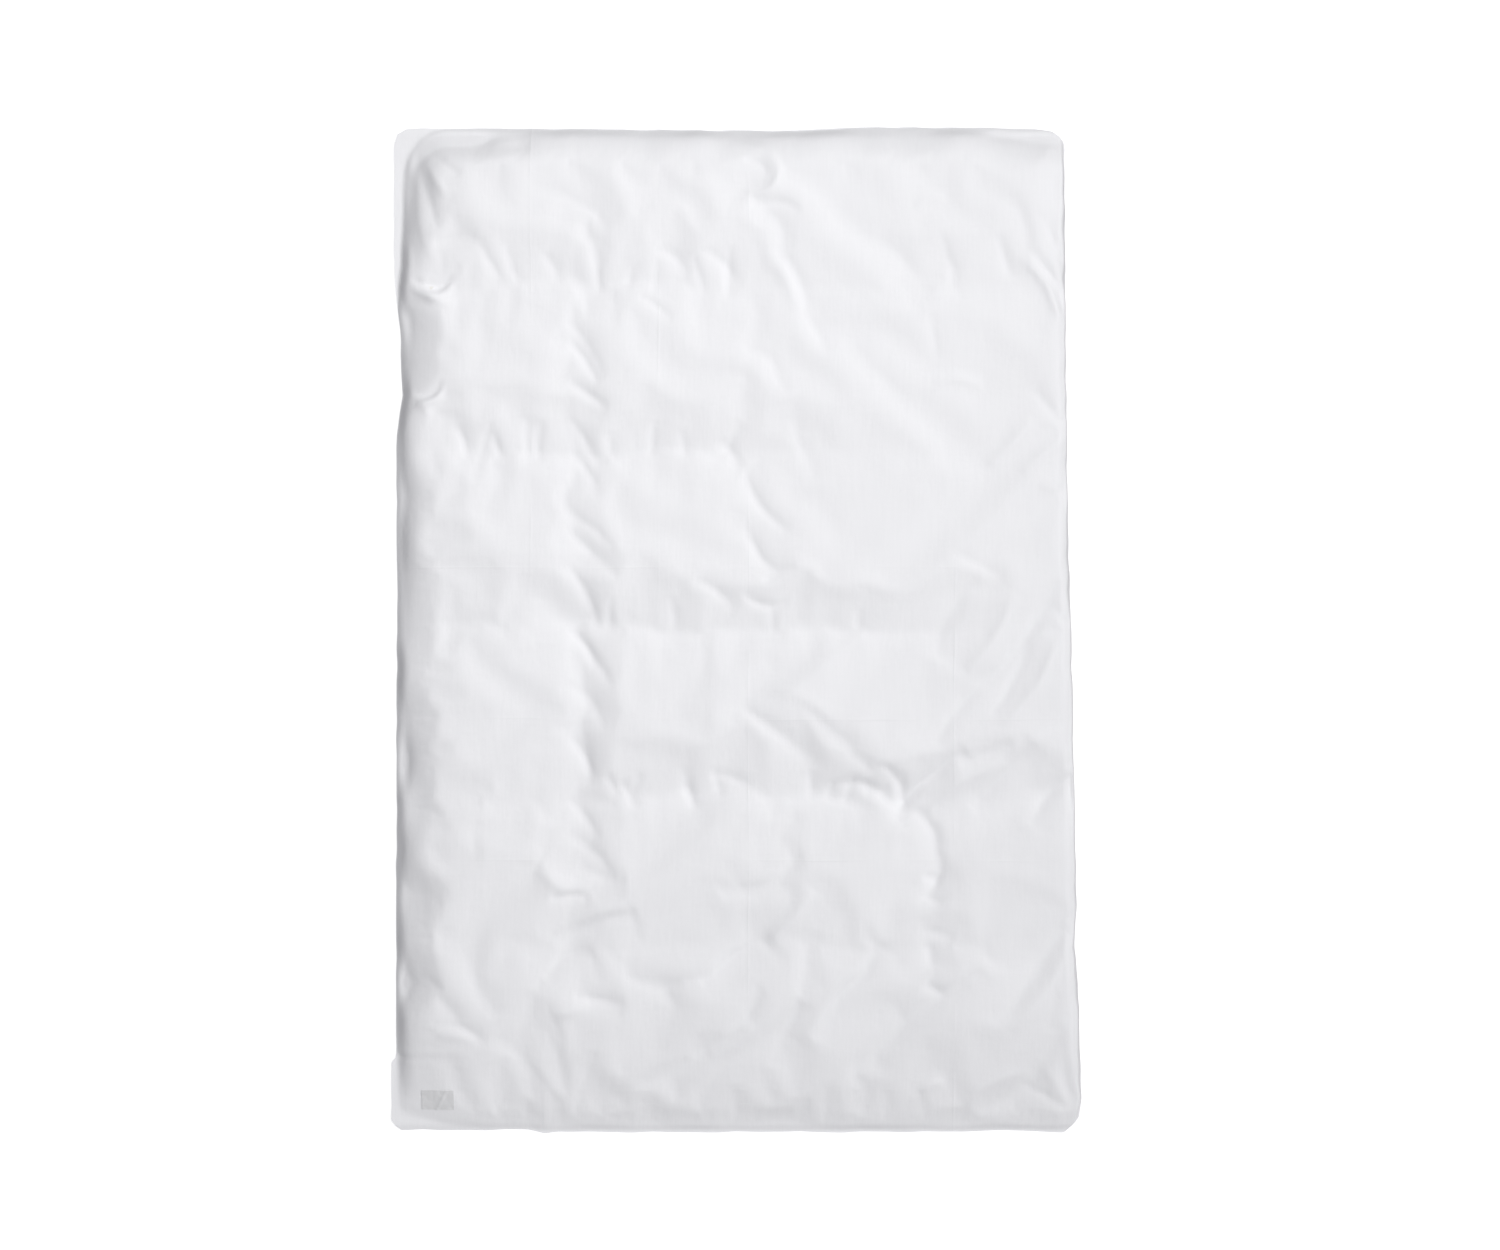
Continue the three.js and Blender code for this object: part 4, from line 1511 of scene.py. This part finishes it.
@dataclass
class Insert:
    """The box-stitched insert: casing, edge piping, baffles and down fillings.

    Attributes:
        cover: the cover that it lies in.
        casing_cloth: the finish of the casing.
        filling: the finish of the down.
        inset: how far the casing's edge lies inside the filling's outline.
        low: height of the casing's underside.
        slack: least distance between the casing and the cover's top.
        edge_level: height of the piped edge.
        edge_reach: width over which the casing's top rises from the piped edge.
        base_reach: width over which its underside falls from it.
        seam_level: height of the casing's top along its seams.
        puff: how much higher its puffs stand.
        puff_reach: distance from a seam at which a puff has its full height.
        piping_radius: radius of the cord in the edge.
        pitch: distance between the lines of the casing's net.
        seam_inset: how far each filling lies from its seams.
        pad_gap: how far it lies under the casing's top and over its underside.
        pad_rounding: width of its rounded rim.
        strip_height: height of the baffle strips as cut; not used.
        flat_size: width and length of each casing panel as cut; not used.
        net_size: width and length that the nets are spaced for.
        foot: place along of its foot side.
    """

    cover: Cover
    casing_cloth: bpy.types.Material
    filling: bpy.types.Material
    inset: float = 0.014
    low: float = 0.0022
    slack: float = 0.0045
    edge_level: float = 0.018
    edge_reach: float = 0.03
    base_reach: float = 0.04
    seam_level: float = 0.037
    puff: float = 0.022
    puff_reach: float = 0.09
    piping_radius: float = 0.0022
    pitch: float = 0.014
    seam_inset: float = 0.005
    pad_gap: float = 0.0008
    pad_rounding: float = 0.012
    strip_height: float = 0.036
    flat_size: tuple[float, float] = (1.37, 1.91)
    net_size: Point2 = (1.28, 1.82)
    foot: float = -0.872

    def __post_init__(self) -> None:
        """Works out the insert's head side from the cover's."""
        self.head = min(place for _, place in self.cover.shape.outline.head) - self.inset

    def sides(self, y: Array) -> tuple[Array, Array]:
        """Places across of the casing's two side edges."""
        outline = self.cover.shape.outline
        return outline.fill_left(y) + self.inset, outline.fill_right(y) - self.inset

    def net(self, columns: Array, rows: Array) -> tuple[Array, Array]:
        """A net of places in the casing.

        Args:
            columns: shares from its left side (0) to its right side (1).
            rows: places along, in metres.

        Returns:
            Tables of the places across and along.
        """
        share, y = np.meshgrid(columns, rows)
        left, right = self.sides(y)
        return left + (right - left) * share, y

    def seam_shares(self) -> list[float]:
        """Where the columns divide the casing.

        Returns:
            Shares of the width at the middle of the duvet, from 0 to 1.
        """
        left, right = self.sides(np.zeros(1))
        lines = self.cover.shape.seams.columns[1:-1]
        return [0.0, *[float((x - left[0]) / (right[0] - left[0])) for x in lines], 1.0]

    def seam_rows(self) -> list[float]:
        """The rows' lines from the head to the foot."""
        return [self.head, *self.cover.shape.seams.rows[1:-1], self.foot]

    def rim(self, x: Array, y: Array) -> Array:
        """Distance inwards from the casing's edge."""
        left, right = self.sides(y)
        return np.minimum(np.minimum(x - left, right - x), np.minimum(self.head - y, y - self.foot))

    def edge_height(self, x: Array, y: Array) -> Array:
        """Height of the piped edge, lower where the cover comes down at the foot."""
        return np.minimum(self.edge_level, 0.45 * self.cover.height(x, y))

    def top_height(self, x: Array, y: Array) -> Array:
        """Height of the casing's top: its own puffs, kept under the cover.

        Args:
            x: places across, in metres.
            y: places along.

        Returns:
            Heights in metres.
        """
        share = np.clip(self.rim(x, y) / self.edge_reach, 0.0, 1.0)
        edge = self.edge_height(x, y)
        roof = np.maximum(self.cover.height(x, y) - self.slack, self.low + MM)
        gaps = [np.abs(x - line) for line in self.cover.shape.seams.columns[1:-1]]
        gaps += [np.abs(y - line) for line in self.seam_rows()[1:-1]]
        off = np.clip(np.minimum.reduce(gaps) / self.puff_reach, 0.0, 1.0)
        puffs = self.seam_level + self.puff * np.sqrt(1.0 - (1.0 - off) ** 2)
        return edge + (np.minimum(roof, puffs) - edge) * np.sqrt(1.0 - (1.0 - share) ** 2)

    def base_height(self, x: Array, y: Array) -> Array:
        """Height of the casing's underside, drawn up to the piped edge."""
        share = smooth(self.rim(x, y) / self.base_reach)
        return self.low + (self.edge_height(x, y) - self.low) * (1.0 - share) ** 1.4

    def build(self) -> None:
        """Makes all the insert's pieces."""
        self.casing()
        self.piping()
        self.fillings()
        self.baffles()

    def casing(self) -> None:
        """The two panels of the casing."""
        steps = (0.0, 0.003, 0.008, 0.014, 0.022, 0.032)
        columns, shares = (spaced(steps, 0.0, length, self.pitch) for length in self.net_size)
        x, y = self.net(columns, self.foot + (self.head - self.foot) * shares)
        top = net_sheet("casing_top", x, y, self.top_height(x, y), self.casing_cloth)
        base = net_sheet("casing_bottom", x, y, self.base_height(x, y), self.casing_cloth, upside=False)
        for piece, node in ((top, "insert_casing_top"), (base, "insert_casing_bottom")):
            belong(piece, [node], HEAD_BEND)

    def piping(self) -> None:
        """The corded edge round the casing."""
        y_side = np.linspace(self.foot, self.head, 150)
        left, right = self.sides(y_side)
        across = np.linspace(0.0, 1.0, 100)[1:-1]
        foot_x = left[0] + (right[0] - left[0]) * across
        head_x = left[-1] + (right[-1] - left[-1]) * across
        x = np.concatenate([foot_x, right, head_x[::-1], left[::-1]])
        y = np.concatenate([0 * foot_x + self.foot, y_side, 0 * head_x + self.head, y_side[::-1]])
        z = self.edge_height(x, y)
        sides, count = 8, len(x)
        way = np.stack([np.roll(x, -1) - np.roll(x, 1), np.roll(y, -1) - np.roll(y, 1)], -1)
        way /= np.linalg.norm(way, axis=1)[:, None]
        rings = []
        for k in range(sides):
            out, up = (self.piping_radius * f(2 * math.pi * k / sides) for f in (math.cos, math.sin))
            rings.append(np.stack([x + way[:, 1] * out, y - way[:, 0] * out, z + up], -1))
        vertices = np.stack(rings, 1).reshape(-1, 3)
        faces = []
        for i in range(count):
            for k in range(sides):
                a, b = i * sides, (i + 1) % count * sides
                faces.append((a + k, b + k, b + (k + 1) % sides, a + (k + 1) % sides))
        piece = make_piece("edge_piping", vertices, faces, self.casing_cloth)
        belong(piece, ["insert_edge_piping"], HEAD_BEND)

    def fillings(self) -> None:
        """The down filling of each box, a plump closed pad."""
        shares, rows = self.seam_shares(), self.seam_rows()
        gap = self.seam_inset / self.net_size[0]
        for r, (head, foot) in enumerate(zip(rows, rows[1:]), 1):
            for c, (left, right) in enumerate(zip(shares, shares[1:]), 1):
                x, y = self.net(
                    np.linspace(left + gap, right - gap, 26),
                    np.linspace(foot + self.seam_inset, head - self.seam_inset, 24),
                )
                low, high = self.base_height(x, y) + self.pad_gap, self.top_height(x, y) - self.pad_gap
                rim = np.clip(border_distance(x, y) / self.pad_rounding, 0.0, 1.0)
                round_off = np.sqrt(1.0 - (1.0 - rim) ** 2)
                middle, half = (low + high) / 2, np.maximum(high - low, 0.001) / 2
                half = half * (0.35 + 0.65 * round_off)
                high_tuft = 0.0012 * soft_noise(x, y, 0.02, 80 + r) * round_off
                upper = np.minimum(middle + half + high_tuft, high)
                pad = net_solid(f"down_r{r}_c{c}", x, y, middle - half, upper, self.filling)
                on: str | Bend = HEAD_BEND if r in (2, 3) else HEAD_SECTION if r == 1 else ROOT
                belong(pad, [f"down_pad_r{r}_c{c}"], on)

    def baffles(self) -> None:
        """The standing strips of cloth between the boxes."""
        shares, rows = self.seam_shares(), self.seam_rows()
        for k, line in enumerate(rows[1:-1], 1):
            x, y = self.net(np.linspace(0.02, 0.98, 120), np.array([line]))
            on: str | Bend = {1: HEAD_SECTION, 2: HEAD_BEND}.get(k, ROOT)
            self.baffle(f"crosswise_strip_{k}", x[0], y[0], (0.0, 1.0), f"crosswise_baffle_{k}", on)
        for k, share in enumerate(shares[1:-1], 1):
            x, y = self.net(np.array([share]), np.linspace(self.foot + 0.025, self.head - 0.025, 150))
            name, node = f"lengthwise_strip_{k}", f"lengthwise_baffle_{k}"
            self.baffle(name, x[:, 0], y[:, 0], (1.0, 0.0), node, HEAD_BEND)

    def baffle(self, name: str, x: Array, y: Array, out: Point2, node: str, on: str | Bend) -> None:
        """One strip that stands along a seam.

        Args:
            name: the piece's name.
            x: places across of its line.
            y: places along.
            out: the direction that it waves in.
            node: the CAD node that it replaces.
            on: the body that it rides on, or a bend, for which it is left unparented with its transform
                baked.
        """
        low, high = self.base_height(x, y) + 0.0004, self.top_height(x, y) - 0.0004
        share = np.linspace(0.0, 1.0, 6)[:, None]
        wave = 0.0016 * np.sin(share * math.pi) * soft_noise(x + 0 * share, y + 0 * share, 0.03, 90)
        z = low + (high - low) * share
        px, py = x + wave * out[0], y + wave * out[1]
        half = 0.0002
        shifts = [(s * half * out[0], s * half * out[1]) for s in (-1, 1)]
        sides = [np.stack([px + dx, py + dy, z], -1).reshape(-1, 3) for dx, dy in shifts]
        count = px.size
        inward, outward = grid_faces(len(x), 6), grid_faces(len(x), 6, first=count, upside=False)
        ring = grid_border(len(x), 6)
        rim = [(a + count, b + count, b, a) for a, b in zip(ring, ring[1:] + ring[:1])]
        faces = inward + outward + rim
        if out[0]:
            faces = [face[::-1] for face in faces]
        piece = make_piece(name, np.concatenate(sides), faces, self.casing_cloth)
        belong(piece, [node], on)


@dataclass
class MouthClosure:
    """What closes the mouth: the back panel's facing and five press studs with their sockets.

    Attributes:
        cover: the cover that has the mouth.
        cotton: the finish of the facing.
        plastic: the finish of the studs.
        thread: the finish of the stitches.
        hem_line: place along of the hem's line of stitches.
        stitch_length: length of one stitch.
        stitch_gap: distance between two stitches.
        studs: how many press studs there are.
        facing_inset: how far the facing's edge lies inside the mouth's edge.
    """

    cover: Cover
    cotton: bpy.types.Material
    plastic: bpy.types.Material
    thread: bpy.types.Material
    hem_line: float = -0.9105
    stitch_length: float = 0.0026
    stitch_gap: float = 0.0012
    studs: int = 5
    facing_inset: float = 0.010

    def build(self) -> None:
        """Makes all the closure's pieces."""
        self.facing()
        for k in range(1, self.studs + 1):
            self.stud(k)
            self.socket(k)
        self.hem_stitches()

    def facing(self) -> None:
        """The turned hem of the back panel, inside the mouth."""
        low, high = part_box("mouth_hem_facing")
        low.y += self.facing_inset
        x, y = np.meshgrid(np.linspace(low.x, high.x, 190), np.linspace(low.y, high.y, 16))
        rim = np.minimum(y - low.y, high.y - y)
        wave = 0.00012 * soft_noise(x, y, 0.015, 95) * smooth(rim / 0.01)
        z = high.z - 0.0003 * (1 - smooth(rim / 0.004)) + wave
        piece = net_solid("mouth_facing", x, y, 0 * x + low.z, z, self.cotton)
        belong(piece, ["mouth_hem_facing"])

    def stud(self, number: int) -> None:
        """The male half: a dished base with a bulbous nub.

        Args:
            number: which press stud, counted from 1.
        """
        node = f"press_stud_{number}"
        low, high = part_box(node)
        radius, tall = (high.x - low.x) / 2, high.z - low.z
        profile = [(0.0, 0.0), (0.9 * radius, 0.0), (radius, 0.00025), (radius, 0.0007)]
        profile += [(0.93 * radius, 0.00095), (0.45 * radius, 0.0008), (0.0014, 0.0010)]
        profile += [(0.0012, 0.0014), (0.0017, tall - 0.0006), (0.0013, tall - 0.0001), (0.0, tall)]
        self.place_round(f"stud_{number}", profile, low, high, node, ROOT)

    def socket(self, number: int) -> None:
        """The female half: a ring with a rolled lip round its hole.

        Args:
            number: which press stud, counted from 1.
        """
        node = f"press_socket_{number}"
        low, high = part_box(node)
        radius, tall, hole = (high.x - low.x) / 2, high.z - low.z, 0.0025
        profile = [(hole, 0.0003), (hole + 0.0004, 0.0), (0.9 * radius, 0.0), (radius, 0.0004)]
        profile += [(radius, tall - 0.0006), (0.9 * radius, tall)]
        profile += [(hole + 0.0004, tall), (hole, tall - 0.0003)]
        self.place_round(f"socket_{number}", profile, low, high, node, MOUTH_FLAP)

    def place_round(
        self, name: str, profile: Sequence[Point2], low: Vector, high: Vector, node: str, on: str
    ) -> None:
        """Makes a turned half of a press stud where its CAD node is.

        Args:
            name: the piece's name.
            profile: its (radius, height) points.
            low: the node's lowest corner.
            high: its highest corner.
            node: the CAD node that it replaces.
            on: the body that it rides on.
        """
        foot = Vector(((low.x + high.x) / 2, (low.y + high.y) / 2, low.z))
        piece = turned_body(name, profile, foot, self.plastic)
        belong(piece, [node], on)

    def hem_stitches(self) -> None:
        """The line of lockstitches along the hem band."""
        half, step = self.cover.mouth_half - 0.006, self.stitch_length + self.stitch_gap
        starts = np.arange(-half, half - step, step)
        x = np.stack([starts, starts + self.stitch_length], -1)
        y = self.hem_line + 0 * x
        piece = stitches("hem_stitches", x, y, self.cover.height(x, y), self.thread)
        belong(piece, on=MOUTH_BEND)


def stitches(name: str, x: Array, y: Array, z: Array, material: bpy.types.Material) -> bpy.types.Object:
    """Makes a piece of many short stitches, each a low rounded stroke of thread.

    Args:
        name: the piece's name.
        x: each stitch's two ends across.
        y: each stitch's two ends along.
        z: height of the cloth at those ends.
        material: the thread.

    Returns:
        The new object.
    """
    radius, sides, spans = 0.00022, 6, (0.0, 0.12, 0.5, 0.88, 1.0)
    vertices: list[Array] = []
    faces: list[tuple[int, ...]] = []
    for ends in np.stack([x, y, z], -1):
        run = ends[1] - ends[0]
        way = run / np.linalg.norm(run)
        out = np.array([way[1], -way[0], 0.0])
        first = len(vertices)
        for share in spans:
            thick = radius * (0.35 + 0.65 * math.sin(math.pi * min(max(share, 0.08), 0.92)))
            middle = ends[0] + run * share + np.array([0.0, 0.0, 0.5 * thick])
            for k in range(sides):
                angle = 2 * math.pi * k / sides
                vertices.append(middle + thick * (math.cos(angle) * out + np.array([0, 0, math.sin(angle)])))
        for s in range(len(spans) - 1):
            for k in range(sides):
                a, b, n = first + s * sides, first + (s + 1) * sides, (k + 1) % sides
                faces.append((a + k, b + k, b + n, a + n))
        faces.append(tuple(first + k for k in range(sides)))
        faces.append(tuple(first + (len(spans) - 1) * sides + k for k in reversed(range(sides))))
    return make_piece(name, np.array(vertices), faces, material)


@dataclass
class Labels:
    """The woven label on the cover's top and the care label at its side seam.

    Attributes:
        cover: the cover that they are sewn to.
        satin: the finish of the ribbon.
        thread: the finish of the stitches.
        thickness: thickness of the ribbon.
        crease_height: height of the crease across the woven label.
        curl_height: height of the small waves in it.
        stitch_inset: how far the stitches lie from the woven label's edge.
        stitch_length: length of one stitch.
        stitch_step: distance from the start of one stitch to the next.
    """

    cover: Cover
    satin: bpy.types.Material
    thread: bpy.types.Material
    thickness: float = 0.0006
    crease_height: float = 0.0012
    curl_height: float = 0.0006
    stitch_inset: float = 0.0022
    stitch_length: float = 0.0022
    stitch_step: float = 0.0034

    def build(self) -> None:
        """Makes both labels and the stitches of the woven one."""
        low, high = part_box("woven_label")
        x, y = np.meshgrid(np.linspace(low.x, high.x, 40), np.linspace(low.y, high.y, 26))
        crease = self.crease_height * bell(x - low.x - 0.030 - 0.5 * (y - low.y), 0.004)
        curl = self.curl_height * soft_noise(x, y, 0.012, 97)
        base = self.cover.height(x, y) + 0.0003
        top = base + self.thickness + np.abs(curl) + crease
        label = net_solid("cover_label", x, y, base, top, self.satin)
        belong(label, ["woven_label"])
        self.label_stitches(low, high)
        self.care_label()

    def label_stitches(self, low: Vector, high: Vector) -> None:
        """Stitches down the two short sides of the woven label.

        Args:
            low: the label's lowest corner.
            high: its highest corner.
        """
        y = np.arange(low.y + 0.0015, high.y - self.stitch_step, self.stitch_step)
        sides = [np.full_like(y, low.x + self.stitch_inset), np.full_like(y, high.x - self.stitch_inset)]
        x = np.concatenate([np.stack([side, side], -1) for side in sides])
        y = np.concatenate([np.stack([y, y + self.stitch_length], -1)] * 2)
        z = self.cover.height(x, y) + self.thickness + 0.0007
        belong(stitches("label_stitches", x, y, z, self.thread))

    def care_label(self) -> None:
        """The blank care label, a folded ribbon that lies between the panels."""
        low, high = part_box("care_label")
        x, y = np.meshgrid(np.linspace(low.x, high.x, 30), np.linspace(low.y, high.y, 20))
        wave = 0.0002 * (1 + soft_noise(x, y, 0.012, 98))
        piece = net_solid("care_ribbon", x, y, 0 * x + low.z, high.z + wave, self.satin)
        belong(piece, ["care_label"])


@dataclass
class Studio:
    """A pale floor, soft light from the right and from above the head, and a camera straight above.

    Attributes:
        camera_place: where the camera hangs.
        lens: its focal length in millimetres.
        floor_half: half the floor's side.
        floor_glow: how much light the floor gives by itself.
        sky: strength of the even light from above the floor.
        ground: strength of the light that the surroundings throw up from below.
        horizon: heights between which the light changes from the one to the other.
        sky_color: colour of both.
        sun_from: direction that the main light comes from.
        sun_strength: its strength.
        sun_spread: its angular size in degrees.
        lamp_place: where the lamp above the head hangs.
        lamp_size: its diameter.
        lamp_power: its power in watts.
    """

    camera_place: tuple[float, float, float] = (0.027, 0.0096, 6.83)
    lens: float = 85.0
    floor_half: float = 60.0
    floor_glow: float = 0.76
    sky: float = 0.376
    ground: float = 0.22
    horizon: Point2 = (-0.06, -0.01)
    sky_color: tuple[float, float, float] = (0.96, 0.962, 1.0)
    sun_from: tuple[float, float, float] = (0.54, 0.11, 0.83)
    sun_strength: float = 1.57
    sun_spread: float = 22.0
    lamp_place: tuple[float, float, float] = (0.1, 0.95, 2.1)
    lamp_size: float = 1.2
    lamp_power: float = 12.8

    def build(self) -> None:
        """Makes the floor, the lights and the camera."""
        self.floor()
        self.sky_light()
        self.sun()
        self.head_lamp()
        self.camera()

    def floor(self) -> None:
        """A wide plain floor just below the duvet, which throws no light back on it."""
        edge = np.array([-self.floor_half, self.floor_half])
        x, y = np.meshgrid(edge, edge)
        shader = Shader("studio_floor", (0.6, 0.6, 0.6), 0.9)
        shader.surface.inputs["Emission Color"].default_value = (1.0, 1.0, 1.0, 1.0)
        shader.surface.inputs["Emission Strength"].default_value = self.floor_glow
        floor = net_sheet("studio_floor", x, y, 0 * x - 0.0004, shader.material)
        floor.visible_diffuse = False

    def sky_light(self) -> None:
        """Even light from everywhere above the floor and a little from below it."""
        world = bpy.data.worlds.new("studio_sky")
        world.use_nodes = True
        nodes, links = world.node_tree.nodes, world.node_tree.links
        direction = nodes.new("ShaderNodeTexCoord").outputs["Generated"]
        split = nodes.new("ShaderNodeSeparateXYZ")
        above = nodes.new("ShaderNodeMapRange")
        above.inputs["From Min"].default_value = self.horizon[0]
        above.inputs["From Max"].default_value = self.horizon[1]
        above.inputs["To Min"].default_value = self.ground
        above.inputs["To Max"].default_value = self.sky
        links.new(direction, split.inputs[0])
        links.new(split.outputs["Z"], above.inputs["Value"])
        background = nodes["Background"]
        background.inputs["Color"].default_value = (*self.sky_color, 1.0)
        links.new(above.outputs[0], background.inputs["Strength"])
        bpy.context.scene.world = world

    def sun(self) -> None:
        """The main light, from the right, even over the whole duvet."""
        lamp = bpy.data.lights.new("sun", "SUN")
        lamp.energy, lamp.angle = self.sun_strength, math.radians(self.sun_spread)
        self.hang(lamp, Vector(self.sun_from) * 5.0)

    def head_lamp(self) -> None:
        """A soft lamp above the head end, whose light fades towards the foot."""
        lamp = bpy.data.lights.new("head_lamp", "AREA")
        lamp.shape, lamp.size, lamp.energy = "DISK", self.lamp_size, self.lamp_power
        self.hang(lamp, Vector(self.lamp_place))

    def hang(self, lamp: bpy.types.Light, place: Vector) -> None:
        """Puts a light in its place, turned to the duvet's middle.

        Args:
            lamp: the light's data.
            place: where it hangs.
        """
        light = bpy.data.objects.new(lamp.name, lamp)
        light.location = place
        light.rotation_euler = (-place).to_track_quat("-Z", "Y").to_euler()
        bpy.context.scene.collection.objects.link(light)

    def camera(self) -> None:
        """The camera, looking straight down with the head end up."""
        scene = bpy.context.scene
        view = bpy.data.cameras.new("camera")
        view.lens, view.sensor_width = self.lens, 36.0
        camera = bpy.data.objects.new("camera", view)
        camera.location = self.camera_place
        scene.collection.objects.link(camera)
        scene.camera = camera
        scene.view_settings.view_transform = "Standard"


# ---------------------------------------------------------------------------------------------
# The whole scene
# ---------------------------------------------------------------------------------------------
def main() -> None:
    """Builds the studio, the cover, the insert and the small parts, and logs each piece's face count."""
    logging.basicConfig(level=logging.INFO, format="%(message)s")
    Studio().build()
    presses_x, presses_y = (-0.392, -0.148, 0.025, 0.42), (0.12, -0.17, -0.44)
    cotton = Percale("cover_percale", presses_x=presses_x, presses_y=presses_y).material()
    casing_cloth, satin, thread = Downproof().material(), Satin().material(), Thread().material()
    shape, drape = CoverShape(), Drape()
    drape.settle(shape)
    cover = Cover(shape, drape, cotton)
    Insert(cover, casing_cloth, Filling().material()).build()
    cover.build()
    MouthClosure(cover, cotton, SnapPlastic().material(), thread).build()
    Labels(cover, satin, thread).build()


if __name__ == "__main__":
    main()
